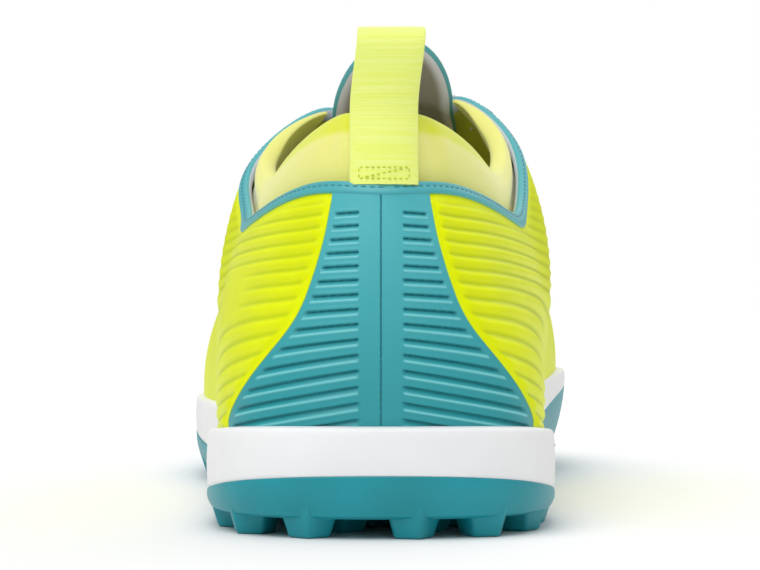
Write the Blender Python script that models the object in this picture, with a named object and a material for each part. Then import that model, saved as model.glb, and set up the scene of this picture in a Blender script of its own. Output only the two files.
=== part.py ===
"""Left football shoe for artificial turf, standing empty on its sole.

The toe points along +Y, the inner side of the foot along +X, and +Z is up. Sizes are in metres.
Every wall follows one surface: profiles that rise from the sole's outline to the top line, read
from the tables below all the way round the foot.
"""

import math
from functools import lru_cache

import bmesh
import bpy
import numpy as np
from mathutils import Matrix, Vector

# Driving sizes of the sole
LENGTH = 0.285
HEEL_WIDTH = 0.0744
WAIST_WIDTH = 0.076
BALL_WIDTH = 0.102
LUG_HEIGHT = 0.004
LUG_EDGE = 0.0058
LUG_PITCH = 0.0146
LUG_FOOT = 0.0059
LUG_TIP = 0.0043
LUG_ROOT = 0.0007
PLATE = 0.002
HEEL_CUSHION = 0.0105
BALL_CUSHION = 0.005
RIM_HEIGHT = 0.0226
SEAM_HEIGHT = 0.0127
ARCH_RISE = 0.0015
TOE_SPRING = 0.011
OUTSOLE_WALL = 0.0014
OUTSOLE_LEAN = 0.25
RIM_EDGE = 0.0009
INSOLE_THICKNESS = 0.003

# Driving sizes of the upper
COLLAR_WIDTH = 0.064
THROAT_WIDTH = 0.030
RIDGE_SHIFT = 0.004
HEEL_TOP = 0.0696
INSTEP_TOP = 0.094
WALL = 0.0018
FEATHER_INSET = 0.0030
BINDING = 0.0022
BINDING_PROUD = 0.0007
COUNTER_THICKNESS = 0.0010
COUNTER_TOP_HALF = 0.258 * HEEL_WIDTH / 2
COUNTER_FOOT_HALF = 0.855 * HEEL_WIDTH / 2
EYESTAY_WIDTH = 0.0135
EYESTAY_THICKNESS = 0.0009
EYELET_PAIRS = 5
EYELET_RADIUS = 0.0019
EYELET_FROM_EDGE = 0.0068
LACE_WIDTH = 0.0055
LACE_THICKNESS = 0.0012

# Driving sizes of the collar, the tongue and the pull loop
COLLAR_RISE = 0.015
COLLAR_PADDING = 0.0033
COLLAR_SWELL = 0.0014
COLLAR_HOLD = 0.013
TONGUE_THICKNESS = 0.0032
TONGUE_TOP = 0.0157
TONGUE_HALF_WIDTH = 0.0165
TONGUE_FLARE = 0.0015
TONGUE_TUCK = 0.014
LOOP_WIDTH = 0.014
LOOP_THICKNESS = 0.0013
LOOP_TOP = 0.1043
LOOP_SHIFT = 0.0006
LOOP_LEAN = 0.0016
LOOP_INNER_RISE = 0.003

GAP = 0.0003
COLUMNS = 60
UPPER_ROWS = 9

# The outline of the sole, from the back of the heel along the outer side to the toe and back along
# the inner side. side is a share of half the width named, along of LENGTH, rim of RIM_HEIGHT (the
# top of the midsole's wall) and seam of SEAM_HEIGHT (where the outsole's wall ends).
OUTLINE = [
    # width, side, along, rim, seam
    ("heel", 0.00, 0.000, 1.00, 1.00),
    ("heel", -0.77, 0.034, 0.98, 0.88),
    ("heel", -1.00, 0.130, 0.90, 0.60),
    ("heel", -1.00, 0.205, 0.86, 0.56),
    ("waist", -0.99, 0.280, 0.87, 0.57),
    ("waist", -1.00, 0.350, 0.91, 0.60),
    ("waist", -1.05, 0.425, 0.95, 0.66),
    ("ball", -0.91, 0.535, 0.95, 0.78),
    ("ball", -1.00, 0.650, 0.97, 0.98),
    ("ball", -0.91, 0.795, 1.02, 1.24),
    ("ball", -0.58, 0.930, 1.16, 1.66),
    ("ball", 0.10, 1.000, 1.25, 1.84),
    ("ball", 0.71, 0.930, 1.22, 1.80),
    ("ball", 0.96, 0.835, 1.24, 1.84),
    ("ball", 1.03, 0.720, 1.26, 1.86),
    ("ball", 0.88, 0.590, 1.16, 1.45),
    ("waist", 0.97, 0.450, 0.98, 0.80),
    ("waist", 0.93, 0.360, 0.90, 0.62),
    ("waist", 0.95, 0.285, 0.87, 0.57),
    ("heel", 0.995, 0.205, 0.86, 0.56),
    ("heel", 1.00, 0.130, 0.90, 0.60),
    ("heel", 0.77, 0.034, 0.98, 0.88),
]
TOE_ROW = 11

# The upper's top edge over the same rows. side is a share of half of COLLAR_WIDTH round the collar,
# or of half of THROAT_WIDTH beside the lacing, along of LENGTH, height of HEEL_TOP or INSTEP_TOP,
# and lift of COLLAR_RISE (how far the padded collar stands above the edge).
TOP_EDGE = [
    # zone, side, along, height, lift
    ("collar", 0.00, 0.027, 1.000, 1.00),
    ("collar", -0.44, 0.056, 1.006, 1.02),
    ("collar", -0.79, 0.132, 0.950, 0.90),
    ("collar", -0.93, 0.203, 0.925, 0.74),
    ("collar", -0.98, 0.272, 0.985, 0.50),
    ("collar", -0.96, 0.335, 1.150, 0.28),
    ("throat", -1.30, 0.402, 1.000, 0.12),
    ("throat", -0.88, 0.485, 0.875, 0.10),
    ("throat", -0.70, 0.570, 0.755, 0.10),
    ("throat", -0.50, 0.628, 0.685, 0.10),
    ("throat", -0.24, 0.650, 0.660, 0.10),
    ("throat", 0.00, 0.656, 0.653, 0.10),
    ("throat", 0.24, 0.650, 0.660, 0.10),
    ("throat", 0.50, 0.628, 0.688, 0.10),
    ("throat", 0.70, 0.570, 0.765, 0.10),
    ("throat", 0.90, 0.485, 0.900, 0.10),
    ("throat", 1.15, 0.405, 1.030, 0.12),
    ("collar", 1.01, 0.338, 1.210, 0.28),
    ("collar", 1.03, 0.275, 1.020, 0.50),
    ("collar", 0.95, 0.205, 0.940, 0.74),
    ("collar", 0.79, 0.133, 0.960, 0.90),
    ("collar", 0.44, 0.056, 1.006, 1.02),
]
THROAT_FIRST, THROAT_LAST = 6, 16
THROAT_FRONT_OUTER, THROAT_FRONT_INNER = 9, 13

# How full each profile is between the sole and the top edge. foot_out and top_out are shares of half
# of BALL_WIDTH, foot_rise and top_drop of the profile's height, and reach of its level distance.
FULLNESS = [
    # foot_out, foot_rise, reach, top_out, top_drop
    (0.075, 0.36, 0.00, 0.100, 0.36),
    (0.060, 0.36, 0.00, 0.100, 0.36),
    (0.050, 0.36, 0.00, 0.115, 0.38),
    (0.065, 0.38, 0.00, 0.130, 0.38),
    (0.095, 0.38, 0.00, 0.110, 0.30),
    (0.110, 0.40, 0.00, 0.130, 0.28),
    (0.105, 0.42, 0.50, 0.105, 0.16),
    (0.120, 0.44, 0.60, 0.110, 0.13),
    (0.130, 0.50, 0.68, 0.030, 0.13),
    (0.080, 0.52, 0.58, 0.000, 0.15),
    (0.030, 0.62, 0.48, 0.000, 0.20),
    (0.020, 0.70, 0.46, 0.000, 0.24),
    (0.030, 0.62, 0.48, 0.000, 0.20),
    (0.110, 0.56, 0.58, 0.000, 0.15),
    (0.185, 0.53, 0.70, 0.030, 0.13),
    (0.220, 0.46, 0.60, 0.160, 0.13),
    (0.185, 0.42, 0.50, 0.260, 0.20),
    (0.225, 0.40, 0.00, 0.175, 0.28),
    (0.150, 0.38, 0.00, 0.110, 0.30),
    (0.065, 0.38, 0.00, 0.120, 0.38),
    (0.045, 0.36, 0.00, 0.100, 0.38),
    (0.060, 0.36, 0.00, 0.100, 0.36),
]

HALF_WIDTH = {"heel": HEEL_WIDTH / 2, "waist": WAIST_WIDTH / 2, "ball": BALL_WIDTH / 2}
TOP_ZONE = {
    "collar": (0.0, COLLAR_WIDTH / 2, HEEL_TOP),
    "throat": (RIDGE_SHIFT, THROAT_WIDTH / 2, INSTEP_TOP),
}
HEEL_CENTRE, TOE_CENTRE = 0.13, 0.85

TEAL = (0.052, 0.350, 0.395, 1.0)
DEEP_TEAL = (0.012, 0.245, 0.290, 1.0)
YELLOW = (0.730, 0.860, 0.012, 1.0)
PALE_YELLOW = (0.830, 0.830, 0.240, 1.0)
WHITE = (0.860, 0.860, 0.860, 1.0)
GREY = (0.330, 0.320, 0.280, 1.0)


def ease(start, end, value):
    """0 before start, 1 after end, and smooth in between."""
    share = min(1.0, max(0.0, (value - start) / (end - start)))
    return share * share * (3 - 2 * share)


class Loop:
    """A smooth closed curve through the rows of a table, for every column at once."""

    def __init__(self, knots, rows):
        self.knots = np.append(knots, 1.0)
        self.rows = np.vstack([rows, rows[0]])
        count = len(rows)
        steps = np.diff(self.knots)
        matrix = np.zeros((count, count))
        slopes = np.diff(self.rows, axis=0) / steps[:, None]
        right = np.zeros((count, self.rows.shape[1]))
        for i in range(count):
            before, after = steps[i - 1], steps[i]
            matrix[i, (i - 1) % count] += before
            matrix[i, i] += 2 * (before + after)
            matrix[i, (i + 1) % count] += after
            right[i] = 6 * (slopes[i] - slopes[i - 1])
        bend = np.linalg.solve(matrix, right)
        self.bend = np.vstack([bend, bend[0]])

    def at(self, s):
        s = s % 1.0
        i = min(len(self.knots) - 2, int(np.searchsorted(self.knots, s, side="right")) - 1)
        step = self.knots[i + 1] - self.knots[i]
        b = (s - self.knots[i]) / step
        a = 1 - b
        curve = ((a**3 - a) * self.bend[i] + (b**3 - b) * self.bend[i + 1]) * step**2 / 6
        return a * self.rows[i] + b * self.rows[i + 1] + curve


def side_knots(points):
    """Where the rows lie round the outline: 0 at the heel, 0.5 at the toe, by length on each side."""
    closed = np.vstack([points, points[0]])
    steps = np.linalg.norm(np.diff(closed, axis=0), axis=1)
    outer = np.cumsum(np.append(0, steps[:TOE_ROW])) / steps[:TOE_ROW].sum() / 2
    inner = 0.5 + np.cumsum(steps[TOE_ROW:]) / steps[TOE_ROW:].sum() / 2
    return np.append(outer, inner[:-1])


def table_rows():
    rows = []
    for (width, side, along, rim, seam), (zone, top_side, top_along, height, lift), fullness in zip(
        OUTLINE, TOP_EDGE, FULLNESS
    ):
        centre, half, top = TOP_ZONE[zone]
        edge = (centre + top_side * half, top_along * LENGTH, height * top)
        foot = (side * HALF_WIDTH[width], along * LENGTH)
        rows.append((*foot, rim * RIM_HEIGHT, seam * SEAM_HEIGHT, *edge, lift * COLLAR_RISE, *fullness))
    return np.array(rows)


ROWS = table_rows()
KNOTS = side_knots(ROWS[:, :2])
ROUND = Loop(KNOTS, ROWS)


def plate_bottom(along):
    """Height of the outsole's underside between its lugs."""
    share = along / LENGTH
    arch = ARCH_RISE * ease(0.26, 0.36, share) * (1 - ease(0.46, 0.56, share))
    toe = TOE_SPRING * max(0.0, (share - 0.70) / 0.30) ** 2
    return LUG_HEIGHT + arch + toe


def plate_top(along):
    return plate_bottom(along) + PLATE


def footbed(along):
    """Height of the midsole's floor, which carries the insole and the upper."""
    thickness = HEEL_CUSHION + (BALL_CUSHION - HEEL_CUSHION) * ease(0.22, 0.66, along / LENGTH)
    return plate_top(along) + GAP + thickness


def outward(s):
    """The level direction that points away from the sole at s."""
    step = 1e-4
    ahead, behind = ROUND.at(s + step)[:2], ROUND.at(s - step)[:2]
    run = (ahead - behind) / np.linalg.norm(ahead - behind)
    return np.array([-run[1], run[0]])


def outline(s, inset):
    """A point of the sole's outline, moved in by inset."""
    return ROUND.at(s)[:2] - outward(s) * inset


def bevel(s):
    """How far the outsole's wall leans in from the seam to its underside."""
    point = ROUND.at(s)
    return OUTSOLE_LEAN * (point[3] - plate_bottom(point[1]))


def foot_inset(s):
    """How far in from the outline the upper stands on the footbed."""
    return FEATHER_INSET + 0.65 * bevel(s)


def spine(point):
    """The point of the foot's middle line level with a point of its outline."""
    along = min(TOE_CENTRE, max(HEEL_CENTRE, point[1] / LENGTH))
    shift = RIDGE_SHIFT * ease(HEEL_CENTRE, TOE_CENTRE, along)
    return np.array([shift, along * LENGTH])


@lru_cache(maxsize=None)
def handles(s):
    """The four control points of the upper's profile at s, from the footbed to the top edge."""
    row = ROUND.at(s)
    edge = row[4:7]
    foot_out, foot_rise, reach, top_out, top_drop = row[8:13]
    out = np.append(outward(s), 0.0)
    level = outline(s, foot_inset(s))
    foot = np.array([level[0], level[1], footbed(level[1]) + GAP])
    height = edge[2] - foot[2]
    half = BALL_WIDTH / 2
    low = foot + out * foot_out * half + np.array([0, 0, foot_rise * height])
    across = (foot - edge) * np.array([1, 1, 0])
    high = edge + across * reach + out * top_out * half - np.array([0, 0, top_drop * height])
    return foot, low, high, edge


def profile(s, t):
    """A point of the upper's outer face: t is 0 at the footbed and 1 at the top edge."""
    foot, low, high, edge = handles(s)
    u = 1 - t
    return foot * u**3 + low * 3 * u * u * t + high * 3 * u * t * t + edge * t**3


def normal(s, t):
    """The upper's outward direction."""
    step_s, step_t = 1e-4, 1e-3
    t = min(1 - step_t, max(step_t, t))
    round_it = profile(s + step_s, t) - profile(s - step_s, t)
    up_it = profile(s, t + step_t) - profile(s, t - step_t)
    n = np.cross(up_it, round_it)
    return n / np.linalg.norm(n)


def climb(s):
    """The direction in which the upper ends at its top edge."""
    _, _, high, edge = handles(s)
    way = edge - high
    return way / np.linalg.norm(way)


def surface(s, t, offset=0.0):
    return profile(s, t) + normal(s, t) * offset


def t_at_height(s, height):
    """Where the profile at s reaches a height above the floor."""
    low, high = 0.0, 1.0
    for _ in range(30):
        middle = (low + high) / 2
        if profile(s, middle)[2] < height:
            low = middle
        else:
            high = middle
    return (low + high) / 2


def rim_t(s):
    return t_at_height(s, ROUND.at(s)[2])


def t_below_edge(s, distance):
    """Where the profile at s is this far below its top edge, measured along it."""
    end, t, done = profile(s, 1.0), 1.0, 0.0
    while done < distance and t > 0.02:
        t -= 0.01
        point = profile(s, t)
        done += np.linalg.norm(end - point)
        end = point
    return t


def columns(first=0.0, last=1.0):
    """The shared column positions from first to last, counted on past 1."""
    count = int(round((last - first) * COLUMNS))
    return [first + (last - first) * i / count for i in range(count + 1)]


def mesh_object(name, colour, roughness, collection):
    mesh = bpy.data.meshes.new(name)
    obj = bpy.data.objects.new(name, mesh)
    collection.objects.link(obj)
    material = bpy.data.materials.new(name)
    material.use_nodes = True
    shader = material.node_tree.nodes["Principled BSDF"]
    shader.inputs["Base Color"].default_value = colour
    shader.inputs["Roughness"].default_value = roughness
    shader.inputs["Metallic"].default_value = 0.0
    mesh.materials.append(material)
    return obj


def finish(obj, bm, smooth=True):
    bmesh.ops.recalc_face_normals(bm, faces=bm.faces)
    bm.to_mesh(obj.data)
    bm.free()
    if smooth:
        obj.data.shade_smooth()
        obj.data.set_sharp_from_angle(angle=math.radians(35))
    return obj


def loft(rings, closed_round, caps):
    """Joins rings of equal length. closed_round joins each ring's ends, and caps is "ladder" to fill
    the first and last ring across the foot, "ends" to fill them as one face, or "loop" to join the
    last ring to the first."""
    bm = bmesh.new()
    layers = [[bm.verts.new(point) for point in ring] for ring in rings]
    count = len(layers[0])
    spans = count if closed_round else count - 1
    pairs = list(zip(layers, layers[1:]))
    if caps == "loop":
        pairs.append((layers[-1], layers[0]))
    for lower, upper in pairs:
        for i in range(spans):
            j = (i + 1) % count
            bm.faces.new((lower[i], lower[j], upper[j], upper[i]))
    if caps == "ends":
        bm.faces.new(layers[0])
        bm.faces.new(layers[-1])
    if caps == "ladder":
        for ring in (layers[0], layers[-1]):
            bm.faces.new((ring[0], ring[1], ring[-1]))
            for i in range(1, count // 2 - 1):
                bm.faces.new((ring[i], ring[i + 1], ring[-i - 1], ring[-i]))
            middle = count // 2
            bm.faces.new((ring[middle - 1], ring[middle], ring[middle + 1]))
    return bm


def level_ring(inset, height):
    """A ring round the sole: inset depends on s, and height on s and on the distance along."""
    ring = []
    for s in columns()[:-1]:
        point = outline(s, inset(s))
        ring.append((point[0], point[1], height(s, point[1])))
    return ring


def inner_ring(share, height):
    """A ring drawn in towards the foot's middle line."""
    ring = []
    for s in columns()[:-1]:
        edge = outline(s, foot_inset(s))
        middle = spine(edge)
        point = middle + (edge - middle) * share
        ring.append((point[0], point[1], height(point[1])))
    return ring


def seam_height(s):
    return ROUND.at(s)[3]


def rim_height(s):
    return ROUND.at(s)[2]


def build_outsole(collection):
    """A rubber bowl with a wall that rises to the seam, and lugs joined under its plate."""
    obj = mesh_object("outsole", DEEP_TEAL, 0.5, collection)
    lip = OUTSOLE_WALL
    rings = [
        inner_ring(0.5, plate_bottom),
        level_ring(lambda s: bevel(s) + lip, lambda s, y: plate_bottom(y)),
        level_ring(lambda s: bevel(s), lambda s, y: plate_bottom(y) + 0.2 * PLATE),
        level_ring(lambda s: 0.22 * bevel(s), lambda s, y: 0.6 * plate_bottom(y) + 0.4 * seam_height(s)),
        level_ring(lambda s: 0.0, lambda s, y: seam_height(s)),
        level_ring(lambda s: lip, lambda s, y: seam_height(s)),
        level_ring(lambda s: bevel(s) + lip, lambda s, y: plate_top(y)),
        inner_ring(0.5, plate_top),
    ]
    finish(obj, loft(rings, True, "ladder"))
    return obj


def lug_places():
    """Centres of the lugs and the way each faces: rows that follow the outline, staggered."""
    pitch, places = LUG_PITCH, []
    for row in range(4):
        inset = LUG_EDGE + pitch * 0.93 * row
        points = [outline(s, inset + 0.6 * bevel(s)) for s in np.linspace(0, 1, 721)]
        done = 0.5 * pitch * (row % 2)
        for before, point in zip(points, points[1:]):
            done += np.linalg.norm(point - before)
            if done < pitch:
                continue
            middle = spine(point)
            clear = all(np.linalg.norm(point - other) > pitch * 0.80 for other, _ in places)
            arch = row > 0 and 0.33 < point[1] / LENGTH < 0.46
            crossed = row > 0 and abs(point[0] - middle[0]) < pitch * 0.3 and 0.2 < point[1] / LENGTH < 0.8
            if clear and not arch and not crossed:
                places.append((point, math.atan2(*(point - before)[::-1])))
                done = 0.0
    return places


def build_lugs(collection):
    """Blunt five-sided studs of one height, let into the plate."""
    obj = mesh_object("lug_forms", DEEP_TEAL, 0.5, collection)
    bm = bmesh.new()
    for point, turn in lug_places():
        base = plate_bottom(point[1])
        height = LUG_HEIGHT + LUG_ROOT
        made = bmesh.ops.create_cone(
            bm, cap_ends=True, segments=5, radius1=LUG_TIP, radius2=LUG_FOOT, depth=height
        )["verts"]
        bmesh.ops.rotate(bm, verts=made, matrix=Matrix.Rotation(turn + math.radians(14), 3, "Z"))
        bmesh.ops.translate(bm, verts=made, vec=(point[0], point[1], base + LUG_ROOT - height / 2))
    return finish(obj, bm, smooth=False)


def union(target, other):
    modifier = target.modifiers.new("joined", "BOOLEAN")
    modifier.operation = "UNION"
    modifier.object = other
    other.hide_render = True
    other.display_type = "WIRE"


def cut(target, cutter):
    modifier = target.modifiers.new("cut", "BOOLEAN")
    modifier.operation = "DIFFERENCE"
    modifier.object = cutter


def build_midsole(collection):
    """A foam cup in the outsole's bowl: its wall stands round the foot of the upper."""
    obj = mesh_object("midsole", WHITE, 0.6, collection)
    under = OUTSOLE_WALL + GAP

    def wall_ring(at_t):
        return [surface(s, at_t(s), 1.5 * GAP) for s in columns()[:-1]]

    def floor_ring():
        ring = []
        for s in columns()[:-1]:
            x, y, _ = surface(s, 0.0, 1.5 * GAP)
            ring.append((x, y, footbed(y)))
        return ring

    def lifted(y):
        return plate_top(y) + GAP

    rings = [
        inner_ring(0.5, lifted),
        level_ring(lambda s: bevel(s) + under + 1.3 * GAP, lambda s, y: lifted(y)),
        level_ring(lambda s: under, lambda s, y: seam_height(s) + GAP),
        level_ring(lambda s: 0.3 * GAP, lambda s, y: seam_height(s) + GAP),
        level_ring(lambda s: 0.0, lambda s, y: 0.45 * seam_height(s) + 0.55 * rim_height(s)),
        level_ring(lambda s: 0.35 * RIM_EDGE, lambda s, y: rim_height(s) - 1.3 * RIM_EDGE),
        level_ring(lambda s: RIM_EDGE + 0.7 * GAP, lambda s, y: rim_height(s)),
        wall_ring(rim_t),
        floor_ring(),
        inner_ring(0.5, footbed),
    ]
    finish(obj, loft(rings, True, "ladder"))
    return obj


def build_insole(collection):
    """A flat foam sock that lies on the midsole's floor inside the upper."""
    obj = mesh_object("insole", GREY, 0.9, collection)

    def inset(s):
        return foot_inset(s) + WALL + 2 * GAP

    def under(s, y):
        return footbed(y) + GAP

    def over(s, y):
        return footbed(y) + GAP + INSOLE_THICKNESS

    rings = [
        inner_ring(0.5, lambda y: under(0, y)),
        level_ring(inset, under),
        level_ring(inset, over),
        inner_ring(0.5, lambda y: over(0, y)),
    ]
    finish(obj, loft(rings, True, "ladder"))
    return obj


def upper_levels(s):
    """The rows of the upper: one at the footbed, one at the midsole's rim, the rest up to the edge."""
    rim = rim_t(s)
    return [0.0, *[rim + (1 - rim) * i / UPPER_ROWS for i in range(UPPER_ROWS + 1)]]


def build_upper(collection):
    """The hollow shell from the footbed to the top edge: open at the collar, the throat and below."""
    obj = mesh_object("upper", YELLOW, 0.45, collection)
    places = columns()[:-1]
    levels = [upper_levels(s) for s in places]
    outside = [
        [surface(s, levels[i][k]) for i, s in enumerate(places)] for k in range(UPPER_ROWS + 2)
    ]
    inside = [
        [surface(s, levels[i][k], -WALL) for i, s in enumerate(places)] for k in range(UPPER_ROWS + 2)
    ]
    finish(obj, loft(outside + inside[::-1], True, "loop"))
    return obj


def build_binding(collection):
    """The rolled edge tape that closes the wall all round the collar and the throat."""
    obj = mesh_object("edge_binding", TEAL, 0.5, collection)
    section = [
        # out of the upper's face, and above its edge
        (BINDING_PROUD, 1.5 * GAP),
        (BINDING_PROUD, 0.7 * BINDING),
        (-0.35 * WALL, BINDING),
        (-WALL, 0.7 * BINDING),
        (-WALL, 1.5 * GAP),
    ]
    rings = []
    for out, above in section:
        rings.append(
            [profile(s, 1.0) + normal(s, 1.0) * out + climb(s) * above for s in columns()[:-1]]
        )
    finish(obj, loft(rings, True, "loop"))
    return obj


def collar_span():
    """First and last column of the padded collar: the throat's two top corners, through the heel."""
    first = math.ceil(KNOTS[THROAT_LAST] * COLUMNS + 0.4) / COLUMNS
    last = 1 + math.floor(KNOTS[THROAT_FIRST] * COLUMNS - 0.4) / COLUMNS
    return first, last


def build_collar(collection):
    """The padded sock collar inside the wall: it stands above the binding and is highest at the heel."""
    obj = mesh_object("collar", PALE_YELLOW, 0.85, collection)
    slack = WALL + 2.5 * GAP
    places = columns(*collar_span())

    def section(s):
        held = t_below_edge(s, COLLAR_HOLD)
        lift = ROUND.at(s)[7]
        clear = BINDING + GAP
        swell = min(COLLAR_SWELL, 0.2 * lift)
        n, up, edge = normal(s, 1.0), climb(s), profile(s, 1.0)

        def above(out, rise):
            return edge + n * out + up * rise

        return [
            surface(s, held, -slack),
            surface(s, 0.5 * (held + 1), -slack),
            above(-slack, 0.0),
            above(-slack, clear),
            above(-slack + swell, clear + 0.35 * lift),
            above(-slack + 0.7 * swell, clear + 0.75 * lift),
            above(-slack - 0.25 * COLLAR_PADDING, clear + 0.97 * lift),
            above(-slack - 0.75 * COLLAR_PADDING, clear + 0.97 * lift),
            above(-slack - COLLAR_PADDING, clear + 0.70 * lift),
            above(-slack - COLLAR_PADDING - 0.3 * swell, 0.0),
            surface(s, 0.5 * (held + 1), -slack - 0.8 * COLLAR_PADDING),
            surface(s, held, -slack - 0.35 * COLLAR_PADDING),
        ]

    finish(obj, loft([section(s) for s in places], True, "ends"))
    return obj


COUNTER_EDGE = [
    # height as a share of the way from the midsole's rim to the top, half width as a share of the way
    # from COUNTER_TOP_HALF to COUNTER_FOOT_HALF
    (0.00, 1.00),
    (0.10, 0.90),
    (0.20, 0.75),
    (0.30, 0.575),
    (0.40, 0.40),
    (0.50, 0.28),
    (0.65, 0.17),
    (0.80, 0.08),
    (1.00, 0.00),
]


def counter_half(share):
    heights, widths = zip(*COUNTER_EDGE)
    width = float(np.interp(share, heights, widths))
    return COUNTER_TOP_HALF + (COUNTER_FOOT_HALF - COUNTER_TOP_HALF) * width


def s_at_side(t, side, offset=0.0):
    """Where round the heel the upper, moved out by offset, stands this far to the side of the seam."""
    low, high = 0.0, KNOTS[4]
    for _ in range(24):
        middle = (low + high) / 2
        s = -middle if side > 0 else middle
        if abs(surface(s, t, offset)[0]) < abs(side):
            low = middle
        else:
            high = middle
    return s


def build_counter(collection):
    """The moulded heel panel over the upper's back."""
    obj = mesh_object("heel_counter", TEAL, 0.4, collection)
    foot = t_at_height(0.0, RIM_HEIGHT + 2 * GAP)
    rings = []
    for k in range(9):
        share = 0.985 * k / 8
        t, half = foot + (1 - foot) * share, counter_half(share)
        first, last = s_at_side(t, -half), s_at_side(t, half)
        places = [first + (last - first) * i / 12 for i in range(13)]
        face = [surface(s, t, 2.6 * GAP + COUNTER_THICKNESS) for s in places]
        back = [surface(s, t, 2.6 * GAP) for s in places]
        rings.append(face + back[::-1])
    finish(obj, loft(rings, True, "ends"))
    return obj


def throat_sides(v):
    """The columns on the outer and inner side of the throat: v is 0 at its top and 1 near its front."""
    outer = KNOTS[THROAT_FIRST] + (KNOTS[THROAT_FRONT_OUTER] - KNOTS[THROAT_FIRST]) * v
    inner = KNOTS[THROAT_LAST] + (KNOTS[THROAT_FRONT_INNER] - KNOTS[THROAT_LAST]) * v
    return outer, inner


@lru_cache(maxsize=None)
def instep_line(v):
    """Points across the instep at v: up the outer side, over the open throat, down the inner side."""
    outer, inner = throat_sides(v)
    low_t = [0.62 + 0.38 * i / 10 for i in range(11)]
    first = [profile(outer, t) for t in low_t]
    last = [profile(inner, t) for t in reversed(low_t)]
    start, end = first[-1], last[0]
    handle = 0.36 * np.linalg.norm(end - start)
    a, b = start + climb(outer) * handle, end + climb(inner) * handle
    bridge = []
    for i in range(1, 12):
        t = i / 12
        u = 1 - t
        bridge.append(start * u**3 + a * 3 * u * u * t + b * 3 * u * t * t + end * t**3)
    return np.array(first + bridge + last), len(first) - 1, len(first) + len(bridge)


def instep(v, across):
    """A point of the instep's outer face: across is the distance from the throat's middle."""
    line, first, last = instep_line(v)
    steps = np.append(0, np.cumsum(np.linalg.norm(np.diff(line, axis=0), axis=1)))
    place = (steps[first] + steps[last]) / 2 + across
    return np.array([np.interp(place, steps, line[:, k]) for k in range(3)])


def throat_half(v):
    line, first, last = instep_line(v)
    return np.linalg.norm(np.diff(line[first : last + 1], axis=0), axis=1).sum() / 2


def instep_normal(v, across):
    step_v, step_a = 0.02, 0.07 * TONGUE_HALF_WIDTH
    along = instep(v + step_v, across) - instep(v - step_v, across)
    over = instep(v, across + step_a) - instep(v, across - step_a)
    n = np.cross(over, along)
    return n / np.linalg.norm(n)


def instep_surface(v, across, offset):
    return instep(v, across) + instep_normal(v, across) * offset


def build_tongue(collection):
    """A padded sheet under the throat: it runs in under the vamp and ends in a round top."""
    obj = mesh_object("tongue", TEAL, 0.7, collection)
    depth = WALL + 2 * GAP
    shares = [-1 + 2 * i / 10 for i in range(11)]

    def row_at(v, half, offset):
        return [instep_surface(v, share * half, offset) for share in shares]

    def shell_row(make):
        return make(-depth) + make(-depth - TONGUE_THICKNESS)[::-1]

    def throat_row(v):
        half = TONGUE_HALF_WIDTH + TONGUE_FLARE * (1 - v)
        return shell_row(lambda offset: row_at(v, half, offset))

    def front_row(reach):
        half = TONGUE_HALF_WIDTH * (1 - 0.12 * reach)
        way = np.array([0.0, math.cos(math.radians(27)), -math.sin(math.radians(27))])

        def make(offset):
            return [p + way * TONGUE_TUCK * reach for p in row_at(1.0, half, offset)]

        return shell_row(make)

    def top_row(rise):
        half = (TONGUE_HALF_WIDTH + TONGUE_FLARE) * (1 - (0.97 * rise) ** 1.9) ** 0.62
        way = np.array([0.02, -0.62, 1.0])
        way = way / np.linalg.norm(way)

        def make(offset):
            return [p + way * TONGUE_TOP * rise for p in row_at(0.0, max(half, 0.24 * TONGUE_HALF_WIDTH), offset)]

        return shell_row(make)

    rows = [top_row(rise) for rise in (1.0, 0.93, 0.80, 0.60, 0.35)]
    rows += [throat_row(v) for v in (0.0, 0.12, 0.25, 0.38, 0.5, 0.62, 0.75, 0.88, 1.0)]
    rows += [front_row(reach) for reach in (0.5, 1.0)]
    finish(obj, loft(rows, True, "ends"))
    return obj


def eyelet_places():
    """Where each pair of eyelets is, from the top of the throat to its front."""
    for k in range(EYELET_PAIRS):
        v = 0.10 + 0.80 * k / (EYELET_PAIRS - 1)
        yield v, throat_half(v) + EYELET_FROM_EDGE


def build_eyestay(collection):
    """The facing round the throat that the laces pull on."""
    obj = mesh_object("eyestay", TEAL, 0.45, collection)
    first = (math.floor(KNOTS[THROAT_FIRST] * COLUMNS) - 1) / COLUMNS
    last = (math.ceil(KNOTS[THROAT_LAST] * COLUMNS) + 1) / COLUMNS
    sections, places = [], columns(first, last)
    for i, s in enumerate(places):
        from_end = min(i, len(places) - 1 - i)
        start = t_below_edge(s, EYESTAY_WIDTH * (0.25, 0.75, 1.0)[min(2, from_end)])
        levels = [start + (1.0 - start) * i / 3 for i in range(4)]
        over = [surface(s, t, 2 * GAP + EYESTAY_THICKNESS) for t in levels]
        under = [surface(s, t, 2 * GAP) for t in levels]
        sections.append(over + under[::-1])
    finish(obj, loft(sections, True, "ends"))
    return obj


def build_eyelet_cutters(collection):
    """Round punches through the eyestay and the wall under it."""
    obj = mesh_object("eyelet_punches", GREY, 0.5, collection)
    bm = bmesh.new()
    for v, across in eyelet_places():
        for side in (-1, 1):
            centre = instep(v, side * across)
            axis = instep_normal(v, side * across)
            made = bmesh.ops.create_cone(
                bm, cap_ends=True, segments=8, radius1=EYELET_RADIUS, radius2=EYELET_RADIUS, depth=5 * WALL
            )["verts"]
            bmesh.ops.rotate(bm, verts=made, matrix=rotation_to(axis))
            bmesh.ops.translate(bm, verts=made, vec=centre)
    finish(obj, bm, smooth=False)
    obj.hide_render = True
    obj.display_type = "WIRE"
    return obj


def rotation_to(axis):
    """The turn that brings +Z onto axis."""
    return Vector((0, 0, 1)).rotation_difference(Vector(axis)).to_matrix()


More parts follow.
